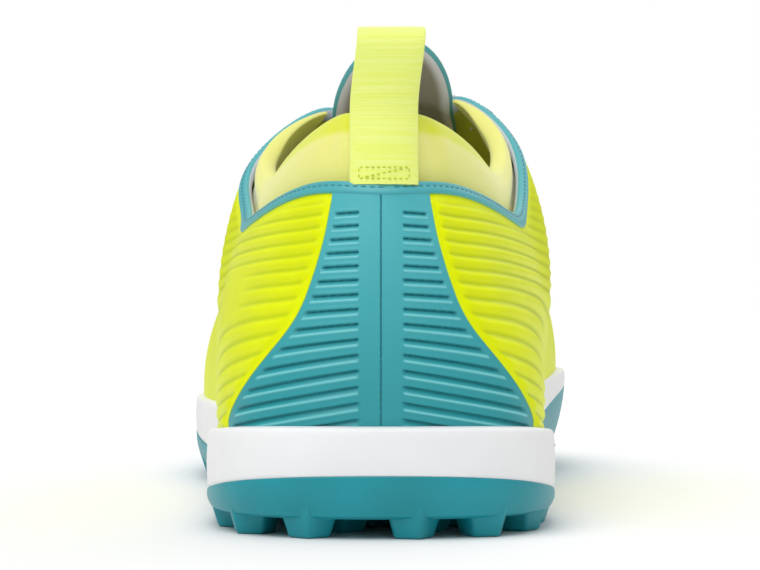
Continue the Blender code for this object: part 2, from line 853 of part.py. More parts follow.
def strap(path, sides, ups):
    """A flat tape along a path, closed at both ends."""
    rings = []
    for point, side, up in zip(path, sides, ups):
        w, h = side * LACE_WIDTH / 2, up * LACE_THICKNESS / 2
        rings.append([point - w - h, point + w - h, point + w + h, point - w + h])
    return loft(rings, True, "ends")


def build_lace(collection):
    """The flat lace: a bar at the front and crossings up to the top eyelets, joined where they cross."""
    places = list(eyelet_places())
    lift = 3 * GAP + EYESTAY_THICKNESS + LACE_THICKNESS / 2 + 0.5 * BINDING_PROUD
    runs = [(places[-1], places[-1])]
    for rear, front in zip(places, places[1:]):
        runs += [(rear, front), (front, rear)]
    objects = []
    for k, ((v_outer, a_outer), (v_inner, a_inner)) in enumerate(runs):
        path, sides, ups = [], [], []
        count = 8
        height = lift + LACE_THICKNESS * (0.03 * k + 0.3 * (k % 2))
        for i in range(count + 1):
            share = i / count
            v = v_outer + (v_inner - v_outer) * share
            across = -a_outer + (a_inner + a_outer) * share
            path.append(instep_surface(v, across, height))
            ups.append(instep_normal(v, across))
        for i in range(count + 1):
            run = path[min(count, i + 1)] - path[max(0, i - 1)]
            side = np.cross(run, ups[i])
            sides.append(side / np.linalg.norm(side))
        obj = mesh_object("lace", WHITE, 0.8, collection)
        objects.append(finish(obj, strap(path, sides, ups), smooth=False))
    lace = objects[0]
    lace.name = "lace"
    for other in objects[1:]:
        other.name = "lace_run"
        union(lace, other)
    return lace, objects[1:]


def build_pull_loop(collection):
    """A folded webbing loop over the back of the collar: one leg outside it, one leg inside."""
    obj = mesh_object("pull_loop", YELLOW, 0.75, collection)
    edge, up, n = profile(0.0, 1.0), climb(0.0), normal(0.0, 1.0)
    half = LOOP_THICKNESS / 2
    outside = -WALL + COLLAR_SWELL + half
    inside = -WALL - COLLAR_PADDING - COLLAR_SWELL - 4 * GAP - half
    over = BINDING + GAP + COLLAR_RISE

    def leg(out, rise):
        return edge + n * out + up * rise

    outer_foot, inner_foot = leg(outside, BINDING + 2 * GAP), leg(inside, BINDING + LOOP_INNER_RISE)
    outer_rim, inner_rim = leg(outside, over), leg(inside, over)
    radius = (inner_rim[1] - outer_rim[1]) / 2
    middle, crown = outer_rim[1] + radius, LOOP_TOP - half - radius
    path, outs = [outer_foot, outer_rim], [outside] * 7 + [inside] * 6
    for i in range(9):
        turn = math.pi * i / 8
        path.append(np.array([0, middle - radius * math.cos(turn), crown + radius * math.sin(turn)]))
    path += [inner_rim, inner_foot]
    rings = []
    for i, point in enumerate(path):
        run = path[min(len(path) - 1, i + 1)] - path[max(0, i - 1)]
        across = np.cross(run, np.array([1.0, 0, 0]))
        h = across / np.linalg.norm(across) * half
        share = ease(outer_rim[2], LOOP_TOP, point[2])
        ring = []
        for x in (-1, -0.5, 0, 0.5, 1):
            place, out = x * LOOP_WIDTH / 2, outs[i]
            beside = surface(s_at_side(1.0, place, out), 1.0, out) if place else leg(out, 0.0)
            behind = beside[1] - leg(out, 0.0)[1]
            ring.append(point + np.array([place + LOOP_SHIFT + LOOP_LEAN * share, behind * (1 - share), 0]))
        rings.append([p - h for p in ring] + [p + h for p in reversed(ring)])
    finish(obj, loft(rings, True, "ends"), smooth=False)
    return obj


def new_collection(name):
    collection = bpy.data.collections.new(name)
    bpy.context.scene.collection.children.link(collection)
    return collection


def main():
    for obj in list(bpy.data.objects):
        bpy.data.objects.remove(obj)
    parts = new_collection("turf_football_shoe")
    helpers = new_collection("cutters")
    frame = bpy.data.objects.new("shoe", None)
    frame.location = (0, -LENGTH / 2, 0)
    parts.objects.link(frame)

    outsole = build_outsole(parts)
    lugs = build_lugs(helpers)
    union(outsole, lugs)
    pieces = [outsole, lugs, build_midsole(parts), build_insole(parts)]
    upper, eyestay, punches = build_upper(parts), build_eyestay(parts), build_eyelet_cutters(helpers)
    cut(upper, punches)
    cut(eyestay, punches)
    lace, runs = build_lace(parts)
    for run in runs:
        parts.objects.unlink(run)
        helpers.objects.link(run)
    pieces += [upper, eyestay, punches, lace, *runs]
    pieces += [build_counter(parts), build_binding(parts), build_collar(parts)]
    pieces += [build_tongue(parts), build_pull_loop(parts)]
    for piece in pieces:
        piece.parent = frame


main()
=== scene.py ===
import math

import bmesh
import bpy
import numpy as np
from mathutils import Matrix, Vector


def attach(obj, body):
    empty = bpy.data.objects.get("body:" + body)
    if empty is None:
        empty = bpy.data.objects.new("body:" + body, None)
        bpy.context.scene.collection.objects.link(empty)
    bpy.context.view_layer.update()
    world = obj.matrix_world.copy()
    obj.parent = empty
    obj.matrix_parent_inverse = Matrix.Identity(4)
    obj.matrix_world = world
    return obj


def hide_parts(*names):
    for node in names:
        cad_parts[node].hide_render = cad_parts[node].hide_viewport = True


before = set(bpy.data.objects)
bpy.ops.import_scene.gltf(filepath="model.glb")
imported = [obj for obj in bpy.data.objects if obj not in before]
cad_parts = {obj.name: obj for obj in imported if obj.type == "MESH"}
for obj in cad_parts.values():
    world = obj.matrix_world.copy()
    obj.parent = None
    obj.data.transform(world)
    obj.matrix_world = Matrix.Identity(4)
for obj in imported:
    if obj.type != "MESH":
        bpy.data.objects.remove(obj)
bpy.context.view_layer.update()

# Studio. The photograph is taken from straight behind the heel, a little above the sole, with a long
# lens. A pale floor runs out to a white surround, and two wide soft lamps stand high on both sides.
PHOTO_WIDTH = 760
FOCAL_PIXELS = 2340
SENSOR = 36
FLOOR_RADIUS = 4.0
SKY_STRENGTH = 0.50
CAMERA_PLACE = (-0.0002, -0.6075, 0.048)
CAMERA_SHIFT = 15


def linear(colour):
    """The linear colour of an sRGB hex value."""
    parts = [int(colour[i : i + 2], 16) / 255 for i in (1, 3, 5)]
    return tuple(p / 12.92 if p <= 0.04045 else ((p + 0.055) / 1.055) ** 2.4 for p in parts) + (1.0,)


def node(tree, kind, inputs=None, **settings):
    """Adds a node with its settings, and fills its inputs with values or other nodes' outputs."""
    made = tree.nodes.new("ShaderNode" + kind)
    for name, value in settings.items():
        setattr(made, name, value)
    for name, value in (inputs or {}).items():
        if isinstance(value, bpy.types.NodeSocket):
            tree.links.new(value, made.inputs[name])
        else:
            made.inputs[name].default_value = value
    return made


def material(name, **sockets):
    """A material with its Principled shader's plain values set."""
    made = bpy.data.materials.new(name)
    made.use_nodes = True
    shader = made.node_tree.nodes["Principled BSDF"]
    for socket, value in sockets.items():
        shader.inputs[socket.replace("_", " ")].default_value = value
    return made, made.node_tree, shader


scene = bpy.context.scene
scene.view_settings.view_transform = "Standard"
camera = bpy.data.objects.new("camera", bpy.data.cameras.new("camera"))
camera.data.sensor_width = SENSOR
camera.data.lens = SENSOR * FOCAL_PIXELS / PHOTO_WIDTH
camera.data.shift_y = CAMERA_SHIFT / PHOTO_WIDTH
camera.location = CAMERA_PLACE
camera.rotation_euler = (math.radians(90), 0, 0)
scene.collection.objects.link(camera)
scene.camera = camera

world = bpy.data.worlds.new("white_surround")
world.use_nodes = True
# the surround looks white, and lights the shoe with less than it shows
ray = node(world.node_tree, "LightPath")
strength = node(world.node_tree, "Mix", {0: ray.outputs["Is Camera Ray"], 2: SKY_STRENGTH, 3: 1.0})
sky = world.node_tree.nodes["Background"]
sky.inputs["Color"].default_value = (1.0, 1.0, 1.0, 1.0)
world.node_tree.links.new(strength.outputs[0], sky.inputs["Strength"])
scene.world = world

# each lamp's direction from the shoe, how wide it looks in degrees, and its strength
for name, place, width, power in [
    ("key_lamp", (-0.45, -0.75, 1.6), 55, 1.75),
    ("back_lamp", (0.5, 0.9, 1.3), 70, 0.75),
]:
    lamp = bpy.data.objects.new(name, bpy.data.lights.new(name, "SUN"))
    lamp.data.angle = math.radians(width)
    lamp.data.energy = power
    lamp.rotation_euler = Vector(place).to_track_quat("Z", "Y").to_euler()
    scene.collection.objects.link(lamp)

# matt white painted board
board, tree, shader = material("white_painted_board", Base_Color=linear("#f2f2f2"), Roughness=0.9)
bm = bmesh.new()
bmesh.ops.create_circle(bm, cap_ends=True, segments=96, radius=FLOOR_RADIUS)
floor = bpy.data.objects.new("floor", bpy.data.meshes.new("floor"))
bm.to_mesh(floor.data)
bm.free()
floor.data.materials.append(board)
scene.collection.objects.link(floor)

# Outsole. One moulding of carbon rubber: a bowl whose wall leans out to a seam against the foam, and
# blunt studs of one height under its plate, the outer ones wider at the root. It is cemented on.
LENGTH = 0.285
HALF_WIDTH = {"heel": 0.0372, "waist": 0.038, "ball": 0.051}
LUG_HEIGHT = 0.004
PLATE = 0.002
RIM_HEIGHT = 0.0226
SEAM_HEIGHT = 0.0127
ARCH_RISE = 0.0015
TOE_SPRING = 0.011
OUTSOLE_WALL = 0.0014
OUTSOLE_LEAN = 0.25
GAP = 0.0003
HEEL_TOP = 0.0696
INSTEP_TOP = 0.094
COLLAR_RISE = 0.015
HEEL_CENTRE, TOE_CENTRE = 0.13, 0.85
RIDGE_SHIFT = 0.004
COLUMNS = 280
# the outline from the back of the heel round the outer side to the toe and back: width and share of
# its half, along, the foam's rim and the seam, then the top line's zone, side, along, height and
# lift, and last how full the profile is low down and high up
SHAPE = [
    ("heel", 0.00, 0.000, 1.00, 1.00, "collar", 0.00, 0.027, 1.000, 1.00, 0.075, 0.36, 0.00, 0.100, 0.36),
    ("heel", -0.77, 0.034, 0.98, 0.88, "collar", -0.44, 0.056, 1.006, 1.02, 0.060, 0.36, 0.00, 0.100, 0.36),
    ("heel", -1.00, 0.130, 0.90, 0.60, "collar", -0.79, 0.132, 0.950, 0.90, 0.050, 0.36, 0.00, 0.115, 0.38),
    ("heel", -1.00, 0.205, 0.86, 0.56, "collar", -0.93, 0.203, 0.925, 0.74, 0.065, 0.38, 0.00, 0.130, 0.38),
    ("waist", -0.99, 0.280, 0.87, 0.57, "collar", -0.98, 0.272, 0.985, 0.50, 0.095, 0.38, 0.00, 0.110, 0.30),
    ("waist", -1.00, 0.350, 0.91, 0.60, "collar", -0.96, 0.335, 1.150, 0.28, 0.110, 0.40, 0.00, 0.130, 0.28),
    ("waist", -1.05, 0.425, 0.95, 0.66, "throat", -1.30, 0.402, 1.000, 0.12, 0.105, 0.42, 0.50, 0.105, 0.16),
    ("ball", -0.91, 0.535, 0.95, 0.78, "throat", -0.88, 0.485, 0.875, 0.10, 0.120, 0.44, 0.60, 0.110, 0.13),
    ("ball", -1.00, 0.650, 0.97, 0.98, "throat", -0.70, 0.570, 0.755, 0.10, 0.130, 0.50, 0.68, 0.030, 0.13),
    ("ball", -0.91, 0.795, 1.02, 1.24, "throat", -0.50, 0.628, 0.685, 0.10, 0.080, 0.52, 0.58, 0.000, 0.15),
    ("ball", -0.58, 0.930, 1.16, 1.66, "throat", -0.24, 0.650, 0.660, 0.10, 0.030, 0.62, 0.48, 0.000, 0.20),
    ("ball", 0.10, 1.000, 1.25, 1.84, "throat", 0.00, 0.656, 0.653, 0.10, 0.020, 0.70, 0.46, 0.000, 0.24),
    ("ball", 0.71, 0.930, 1.22, 1.80, "throat", 0.24, 0.650, 0.660, 0.10, 0.030, 0.62, 0.48, 0.000, 0.20),
    ("ball", 0.96, 0.835, 1.24, 1.84, "throat", 0.50, 0.628, 0.688, 0.10, 0.110, 0.56, 0.58, 0.000, 0.15),
    ("ball", 1.03, 0.720, 1.26, 1.86, "throat", 0.70, 0.570, 0.765, 0.10, 0.185, 0.53, 0.70, 0.030, 0.13),
    ("ball", 0.88, 0.590, 1.16, 1.45, "throat", 0.90, 0.485, 0.900, 0.10, 0.220, 0.46, 0.60, 0.160, 0.13),
    ("waist", 0.97, 0.450, 0.98, 0.80, "throat", 1.15, 0.405, 1.030, 0.12, 0.185, 0.42, 0.50, 0.260, 0.20),
    ("waist", 0.93, 0.360, 0.90, 0.62, "collar", 1.01, 0.338, 1.210, 0.28, 0.225, 0.40, 0.00, 0.175, 0.28),
    ("waist", 0.95, 0.285, 0.87, 0.57, "collar", 1.03, 0.275, 1.020, 0.50, 0.150, 0.38, 0.00, 0.110, 0.30),
    ("heel", 0.995, 0.205, 0.86, 0.56, "collar", 0.95, 0.205, 0.940, 0.74, 0.065, 0.38, 0.00, 0.120, 0.38),
    ("heel", 1.00, 0.130, 0.90, 0.60, "collar", 0.79, 0.133, 0.960, 0.90, 0.045, 0.36, 0.00, 0.100, 0.38),
    ("heel", 0.77, 0.034, 0.98, 0.88, "collar", 0.44, 0.056, 1.006, 1.02, 0.060, 0.36, 0.00, 0.100, 0.36),
]
TOE_ROW = 11
TOP_ZONE = {"collar": (0.0, 0.032, HEEL_TOP), "throat": (RIDGE_SHIFT, 0.015, INSTEP_TOP)}


def table_row(width, side, along, rim, seam, zone, top_side, top_along, height, lift, *fullness):
    centre, half, top = TOP_ZONE[zone]
    foot = (side * HALF_WIDTH[width], along * LENGTH, rim * RIM_HEIGHT, seam * SEAM_HEIGHT)
    return (*foot, centre + top_side * half, top_along * LENGTH, height * top, lift * COLLAR_RISE, *fullness)


ROWS = np.array([table_row(*row) for row in SHAPE])
CLOSED = np.vstack([ROWS, ROWS[0]])
steps = np.linalg.norm(np.diff(CLOSED[:, :2], axis=0), axis=1)
KNOTS = np.concatenate([
    np.cumsum(np.append(0, steps[:TOE_ROW])) / steps[:TOE_ROW].sum() / 2,
    0.5 + np.cumsum(steps[TOE_ROW:]) / steps[TOE_ROW:].sum() / 2,
])


def spline_bends():
    """The second slopes of the smooth closed curve through the rows."""
    count, span = len(ROWS), np.diff(KNOTS)
    matrix, slopes = np.zeros((count, count)), np.diff(CLOSED, axis=0) / span[:, None]
    for i in range(count):
        matrix[i, i - 1] += span[i - 1]
        matrix[i, i] += 2 * (span[i - 1] + span[i])
        matrix[i, (i + 1) % count] += span[i]
    right = 6 * (slopes - np.roll(slopes, 1, axis=0))
    bends = np.linalg.solve(matrix, right)
    return np.vstack([bends, bends[0]])


BENDS = spline_bends()


def round_at(s):
    """The table's values all the way round the foot: s is 0 at the heel and 0.5 at the toe."""
    s = np.asarray(s, dtype=float) % 1.0
    i = np.clip(np.searchsorted(KNOTS, s, side="right") - 1, 0, len(KNOTS) - 2)
    step = (KNOTS[i + 1] - KNOTS[i])[..., None]
    b = (s - KNOTS[i])[..., None] / step
    a = 1 - b
    bend = ((a**3 - a) * BENDS[i] + (b**3 - b) * BENDS[i + 1]) * step**2 / 6
    return a * CLOSED[i] + b * CLOSED[i + 1] + bend


def ease(start, end, value):
    share = np.clip((value - start) / (end - start), 0.0, 1.0)
    return share * share * (3 - 2 * share)


def unit(way):
    return way / np.linalg.norm(way, axis=-1, keepdims=True)


def hump(value, centre, width):
    return np.exp(-(((value - centre) / width) ** 2))


def blunt(value, power):
    """A sine or a cosine drawn towards its ends, for a section like a rounded box."""
    return np.sign(value) * np.abs(value) ** power


def run_along(points):
    """How far along a line each of its points lies."""
    return np.append(0, np.cumsum(np.linalg.norm(np.diff(points, axis=0), axis=1)))


def points_of(x, y, z):
    return np.stack(np.broadcast_arrays(x, y, z), axis=-1)


def plate_bottom(y):
    share = y / LENGTH
    arch = ARCH_RISE * ease(0.26, 0.36, share) * (1 - ease(0.46, 0.56, share))
    return LUG_HEIGHT + arch + TOE_SPRING * np.maximum(0.0, (share - 0.70) / 0.30) ** 2


def outward(s):
    run = unit(round_at(s + 1e-4)[..., :2] - round_at(s - 1e-4)[..., :2])
    return np.stack([-run[..., 1], run[..., 0]], axis=-1)


def outline(s, inset):
    return round_at(s)[..., :2] - outward(s) * np.asarray(inset)[..., None]


def bevel(s):
    row = round_at(s)
    return OUTSOLE_LEAN * (row[..., 3] - plate_bottom(row[..., 1]))


def spine(y):
    along = np.clip(y / LENGTH, HEEL_CENTRE, TOE_CENTRE)
    return np.stack([RIDGE_SHIFT * ease(HEEL_CENTRE, TOE_CENTRE, along), along * LENGTH], axis=-1)


def level_ring(s, inset, height):
    """A ring round the sole. height is a function of the distance along."""
    flat = outline(s, inset)
    return points_of(flat[..., 0], flat[..., 1], height(flat[..., 1]))


def inner_ring(s, share, height):
    edge = outline(s, 0.003 + 0.65 * bevel(s))
    middle = spine(edge[..., 1])
    flat = middle + (edge - middle) * share
    return points_of(flat[..., 0], flat[..., 1], height(flat[..., 1]))


def lay(points, out=None, fill=False, **marks):
    """A sheet through rows of points, bent from a grid, with a UV map in metres and vertex marks.
    Rows or columns that meet are joined. out is a point inside a sheet that stays open."""
    points = np.asarray(points)
    points = points - np.array([0.0, LENGTH / 2, 0.0])
    rows, columns = points.shape[:2]
    wide = np.linalg.norm(np.diff(points, axis=1), axis=2).sum(axis=1).mean() / (columns - 1)
    high = np.linalg.norm(np.diff(points, axis=0), axis=2).sum(axis=0).mean() / (rows - 1)
    bm = bmesh.new()
    bmesh.ops.create_grid(bm, x_segments=columns - 1, y_segments=rows - 1, size=0.5)
    bm.verts.ensure_lookup_table()
    bm.verts.index_update()
    at = [(round((v.co.x + 0.5) * (columns - 1)), round((v.co.y + 0.5) * (rows - 1))) for v in bm.verts]
    weave = bm.loops.layers.uv.new("weave")
    for face in bm.faces:
        for loop in face.loops:
            i, j = at[loop.vert.index]
            loop[weave].uv = (i * wide, j * high)
    layers = {name: bm.verts.layers.float.new(name) for name in marks}
    for vert, (i, j) in zip(bm.verts, at):
        vert.co = points[j, i]
        for name, layer in layers.items():
            vert[layer] = float(marks[name][j, i])
    bmesh.ops.remove_doubles(bm, verts=bm.verts, dist=1e-7)
    if fill:
        bmesh.ops.triangle_fill(bm, use_beauty=True, edges=[e for e in bm.edges if e.is_boundary])
    bmesh.ops.recalc_face_normals(bm, faces=bm.faces)
    if out is not None:
        inside = Vector(out)
        if sum((f.calc_center_median() - inside).dot(f.normal) for f in bm.faces) < 0:
            bmesh.ops.reverse_faces(bm, faces=bm.faces)
    return bm


def make(name, bm, finish, angle=35):
    """A finished piece at the origin, smooth but for edges sharper than angle."""
    mesh = bpy.data.meshes.new(name)
    bm.to_mesh(mesh)
    bm.free()
    mesh.shade_smooth()
    mesh.set_sharp_from_angle(angle=math.radians(angle))
    mesh.materials.append(finish)
    piece = bpy.data.objects.new(name, mesh)
    scene.collection.objects.link(piece)
    return piece


def between(tree, value, low, high, start=0.0, end=1.0):
    """Maps a value's range onto another, smoothly."""
    return node(
        tree, "MapRange",
        {"Value": value, "From Min": low, "From Max": high, "To Min": start, "To Max": end},
        interpolation_type="SMOOTHSTEP",
    ).outputs[0]


def clouds(tree, size, detail=3.0):
    """Soft noise of a real size on object coordinates."""
    place = node(tree, "TexCoord").outputs["Object"]
    return node(tree, "TexNoise", {"Vector": place, "Scale": 1 / size, "Detail": detail}).outputs[0]


def emboss(tree, shader, height, strength, depth):
    """A height over the surface, in metres, as bump."""
    bump = node(tree, "Bump", {"Height": height, "Strength": strength, "Distance": depth})
    tree.links.new(bump.outputs[0], shader.inputs["Normal"])


def grain(tree, shader, size, depth, strength=0.5):
    """A moulded grain."""
    emboss(tree, shader, clouds(tree, size, 4.0), strength, depth)


def tint(tree, shader, colour, *layers):
    """The shader's base colour: a first colour, then others laid over it, each by its own share."""
    for over, share in layers:
        colour = node(tree, "Mix", {0: share, 6: colour, 7: over}, data_type="RGBA").outputs[2]
    tree.links.new(colour, shader.inputs["Base Color"])


def bloom(tree, shader, first, second, size):
    """A slow change of colour over the surface, as a moulding or a dye lot shows."""
    tint(tree, shader, linear(first), (linear(second), between(tree, clouds(tree, size), 0.25, 0.75)))


def mark(tree, name):
    """One of a piece's own marks on its vertices."""
    return node(tree, "Attribute", attribute_name=name).outputs["Fac"]


def wave(tree, value, length):
    """A sine of one real length along a coordinate in metres."""
    turns = node(tree, "Math", {0: value, 1: 2 * math.pi / length}, operation="MULTIPLY")
    return node(tree, "Math", {0: turns.outputs[0]}, operation="SINE").outputs[0]


LUG_PITCH = 0.0146
LUG_EDGE = 0.0058
LUG_TIP_RADIUS = 0.0045
LUG_ROUNDING = 0.0007
# how far a stud's root runs up into the plate, and its radius there: in the outer row, then inside it
LUG_ROOTS = [(0.0030, 0.0068), (0.0012, 0.0061)]
around = np.linspace(0, 1, COLUMNS + 1)
seam, leans = round_at(around)[:, 3], bevel(around)


def wall_between(low_share):
    """A height between the plate's underside and the seam."""
    return lambda y: (1 - low_share) * plate_bottom(y) + low_share * seam


rings = [inner_ring(around, share, plate_bottom) for share in (0.5, 0.7, 0.85)]
rings.append(level_ring(around, leans + 0.0016, plate_bottom))
rings.append(level_ring(around, leans + 0.0008, lambda y: plate_bottom(y) + 0.0001))
for k in range(1, 13):
    share = k / 12
    bow = 0.0004 * math.sin(math.pi * share)
    rings.append(level_ring(around, leans * (1 - share) ** 1.25 - bow, wall_between(share)))
rings.append(level_ring(around, 0.0002, lambda y: seam + 0.0002))
rings.append(level_ring(around, OUTSOLE_WALL, lambda y: seam))
rings.append(level_ring(around, leans + OUTSOLE_WALL, lambda y: plate_bottom(y) + PLATE))
rings.append(inner_ring(around, 0.5, lambda y: plate_bottom(y) + PLATE))
rubber, tree, shader = material("moulded_carbon_rubber", Roughness=0.42, Specular_IOR_Level=0.45)
# dense rubber: dull sheen, colour even but a little clouded, with a spark-eroded mould's fine grain
bloom(tree, shader, "#008893", "#0093a0", 0.02)
grain(tree, shader, 0.0006, 0.00003, strength=0.6)
outsole = make("outsole_moulding", lay(rings, fill=True), rubber)
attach(outsole, "root")
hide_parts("outsole")


def lug_places():
    """Centres of the studs and their turns: rows that follow the outline, staggered."""
    places = []
    for row in range(4):
        inset = LUG_EDGE + LUG_PITCH * 0.93 * row
        s = np.linspace(0, 1, 721)
        points = outline(s, inset + 0.6 * bevel(s))
        done = 0.5 * LUG_PITCH * (row % 2)
        for before, point in zip(points, points[1:]):
            done += np.linalg.norm(point - before)
            if done < LUG_PITCH:
                continue
            middle, share = spine(point[1]), point[1] / LENGTH
            clear = all(np.linalg.norm(point - other[0]) > LUG_PITCH * 0.80 for other in places)
            arch = row > 0 and 0.33 < share < 0.46
            crossed = row > 0 and abs(point[0] - middle[0]) < LUG_PITCH * 0.3 and 0.2 < share < 0.8
            if clear and not arch and not crossed:
                places.append((point, math.atan2(*(point - before)[::-1]), row))
                done = 0.0
    return places


bm = bmesh.new()
for point, turn, row in lug_places():
    base = float(plate_bottom(point[1]))
    root, flare = LUG_ROOTS[min(row, 1)]
    made = bmesh.ops.create_cone(
        bm, cap_ends=True, segments=5, radius1=LUG_TIP_RADIUS, radius2=flare, depth=LUG_HEIGHT + root
    )["verts"]
    bmesh.ops.rotate(bm, verts=made, matrix=Matrix.Rotation(turn + math.radians(14), 3, "Z"))
    place = (point[0], point[1] - LENGTH / 2, base + root - (LUG_HEIGHT + root) / 2)
    bmesh.ops.translate(bm, verts=made, vec=place)
bmesh.ops.bevel(
    bm, geom=list(bm.edges), offset=LUG_ROUNDING, affect="EDGES", segments=3, profile=0.5, material=-1
)
lugs = make("outsole_studs", bm, rubber)
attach(lugs, "root")

# Midsole. A cup of white EVA foam, compression moulded with a satin skin, cemented in the rubber bowl.
# Its wall stands round the foot of the upper and is a little fuller in the middle of its height.
FEATHER_INSET = 0.0030
HEEL_CUSHION = 0.0105
BALL_CUSHION = 0.005


def footbed(y):
    thickness = HEEL_CUSHION + (BALL_CUSHION - HEEL_CUSHION) * ease(0.22, 0.66, y / LENGTH)
    return plate_bottom(y) + PLATE + GAP + thickness


def handles(s):
    """The four control points of the upper's profile at s, from the footbed to the top edge."""
    row = round_at(s)
    edge = row[..., 4:7]
    foot_out, foot_rise, reach, top_out, top_drop = (row[..., k, None] for k in range(8, 13))
    way = outward(s)
    out = np.concatenate([way, np.zeros_like(way[..., :1])], axis=-1)
    level = outline(s, FEATHER_INSET + 0.65 * bevel(s))
    foot = np.concatenate([level, (footbed(level[..., 1]) + GAP)[..., None]], axis=-1)
    height = (edge[..., 2] - foot[..., 2])[..., None] * np.array([0.0, 0.0, 1.0])
    half = HALF_WIDTH["ball"]
    low = foot + out * foot_out * half + height * foot_rise
    high = edge + (foot - edge) * np.array([1.0, 1.0, 0.0]) * reach + out * top_out * half - height * top_drop
    return foot, low, high, edge


def profile(s, t):
    """A point of the upper's outer face: t is 0 at the footbed and 1 at the top edge."""
    foot, low, high, edge = handles(s)
    t = np.asarray(t, dtype=float)[..., None]
    u = 1 - t
    return foot * u**3 + low * 3 * u * u * t + high * 3 * u * t * t + edge * t**3


def normal(s, t):
    s, t = np.broadcast_arrays(np.asarray(s, dtype=float), np.asarray(t, dtype=float))
    t = np.clip(t, 1e-3, 1 - 1e-3)
    round_it = profile(s + 1e-4, t) - profile(s - 1e-4, t)
    up_it = profile(s, t + 1e-3) - profile(s, t - 1e-3)
    return unit(np.cross(up_it, round_it))


def climb(s):
    foot, low, high, edge = handles(s)
    return unit(edge - high)


def surface(s, t, offset=0.0):
    return profile(s, t) + normal(s, t) * np.asarray(offset)[..., None]


def t_at_height(s, height):
    low, high = np.zeros_like(s), np.ones_like(s)
    for _ in range(24):
        middle = (low + high) / 2
        under = profile(s, middle)[..., 2] < height
        low, high = np.where(under, middle, low), np.where(under, high, middle)
    return (low + high) / 2


under = OUTSOLE_WALL + GAP
rim = round_at(around)[:, 2]
rim_t = t_at_height(around, rim)
rings = [inner_ring(around, 0.5, lambda y: plate_bottom(y) + PLATE + GAP)]
rings.append(level_ring(around, leans + under + 0.0004, lambda y: plate_bottom(y) + PLATE + GAP))
rings.append(level_ring(around, under, lambda y: seam + GAP))
rings.append(level_ring(around, 0.0006, lambda y: seam + 0.0001))
# the foam's wall: share of its height, and how far it lies inside the outline
for share, inset in [
    (0.01, 0.0004), (0.04, 0.0001), (0.10, 0.0), (0.25, -0.0001), (0.45, -0.0002), (0.65, -0.0001),
    (0.82, 0.0), (0.92, 0.0001), (0.96, 0.0003), (0.985, 0.0006), (1.0, 0.0011),
]:
    rings.append(level_ring(around, inset, lambda y: seam + (rim - seam) * share))
rings.append(surface(around, rim_t + 0.004, 0.0003))
rings.append(surface(around, rim_t - 0.03, 0.0001))
wall = surface(around, np.zeros_like(around), 1.5 * GAP)
rings.append(points_of(wall[:, 0], wall[:, 1], footbed(wall[:, 1])))
rings.append(inner_ring(around, 0.5, footbed))
foam, tree, shader = material("eva_foam", Roughness=0.55, Subsurface_Weight=0.12, Subsurface_Scale=0.002)
# moulded EVA: chalky white, satin, with the faint pitting of its closed-cell skin
shader.inputs["Subsurface Radius"].default_value = (1.0, 1.0, 1.0)
bloom(tree, shader, "#f3f3f4", "#ebebed", 0.03)
grain(tree, shader, 0.0009, 0.00004)
midsole = make("midsole_foam", lay(rings, fill=True), foam)
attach(midsole, "root")
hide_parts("midsole")

# Insole. A flat foam sock faced with brushed knit, cemented to the foam's floor inside the upper.
# Its grey pile is short and soft, so it shows no gloss.
facing, tree, shader = material("brushed_polyester_knit", Roughness=0.95, Sheen_Weight=0.4)
bloom(tree, shader, "#8f8c7e", "#807c6c", 0.004)
grain(tree, shader, 0.0007, 0.0002, strength=0.6)
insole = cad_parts["insole"]
insole.data.materials.clear()
insole.data.materials.append(facing)

# Upper. A moulded synthetic skin over a thin shell: ribbed back from the middle of the foot, smooth
# round the panel's edge and on one patch of the outer side. It is lasted under the foam's wall.
WALL = 0.0018
HEEL_WIDTH = 0.0744
COUNTER_TOP_HALF = 0.258 * HEEL_WIDTH / 2
COUNTER_FOOT_HALF = 0.855 * HEEL_WIDTH / 2
# the panel's half width: share of its height, then share of the way from its top to its foot width
COUNTER_EDGE = np.array([
    (0.00, 1.00), (0.10, 0.90), (0.20, 0.75), (0.30, 0.575), (0.40, 0.40),
    (0.50, 0.28), (0.65, 0.17), (0.80, 0.08), (1.00, 0.00),
])
RIB_FIRST, RIB_STEP, RIB_GAIN = 23.9, 3.37, 0.0275
RIB_HEIGHT = 0.00060
PANEL_FACE = 0.0009
SKIN_RISE = 0.0005
LIP_RISE = 0.0006
UNDER_PANEL = -0.0005
PATCH_CENTRE, PATCH_REACH = (0.047, 0.0485), (0.020, 0.0060)
SIDE_MM = 300.0


def counter_half(share):
    """The panel's half width, smoothed between the table's rows."""
    spread = np.linspace(-0.05, 0.05, 9)[:, None]
    width = np.interp(np.atleast_1d(share)[None] + spread, *COUNTER_EDGE.T).mean(axis=0)
    return COUNTER_TOP_HALF + (COUNTER_FOOT_HALF - COUNTER_TOP_HALF) * width


foot_t = float(t_at_height(np.zeros(1), RIM_HEIGHT + 2 * GAP)[0])
shares = np.linspace(0, 1, 81)
halves, levels = counter_half(shares), foot_t + (1 - foot_t) * shares


def side_columns(way):
    """Where round the heel the panel's edge lies on one side, level by level."""
    low, high = np.zeros_like(shares), np.full_like(shares, KNOTS[4])
    for _ in range(26):
        middle = (low + high) / 2
        near = np.abs(surface(way * middle, levels, PANEL_FACE)[:, 0]) < halves
        low, high = np.where(near, middle, low), np.where(near, high, middle)
    return (low + high) / 2


EDGE_S = {1: side_columns(1), -1: side_columns(-1)}


def edge_s(way, t):
    return np.interp((t - foot_t) / (1 - foot_t), shares, EDGE_S[way])


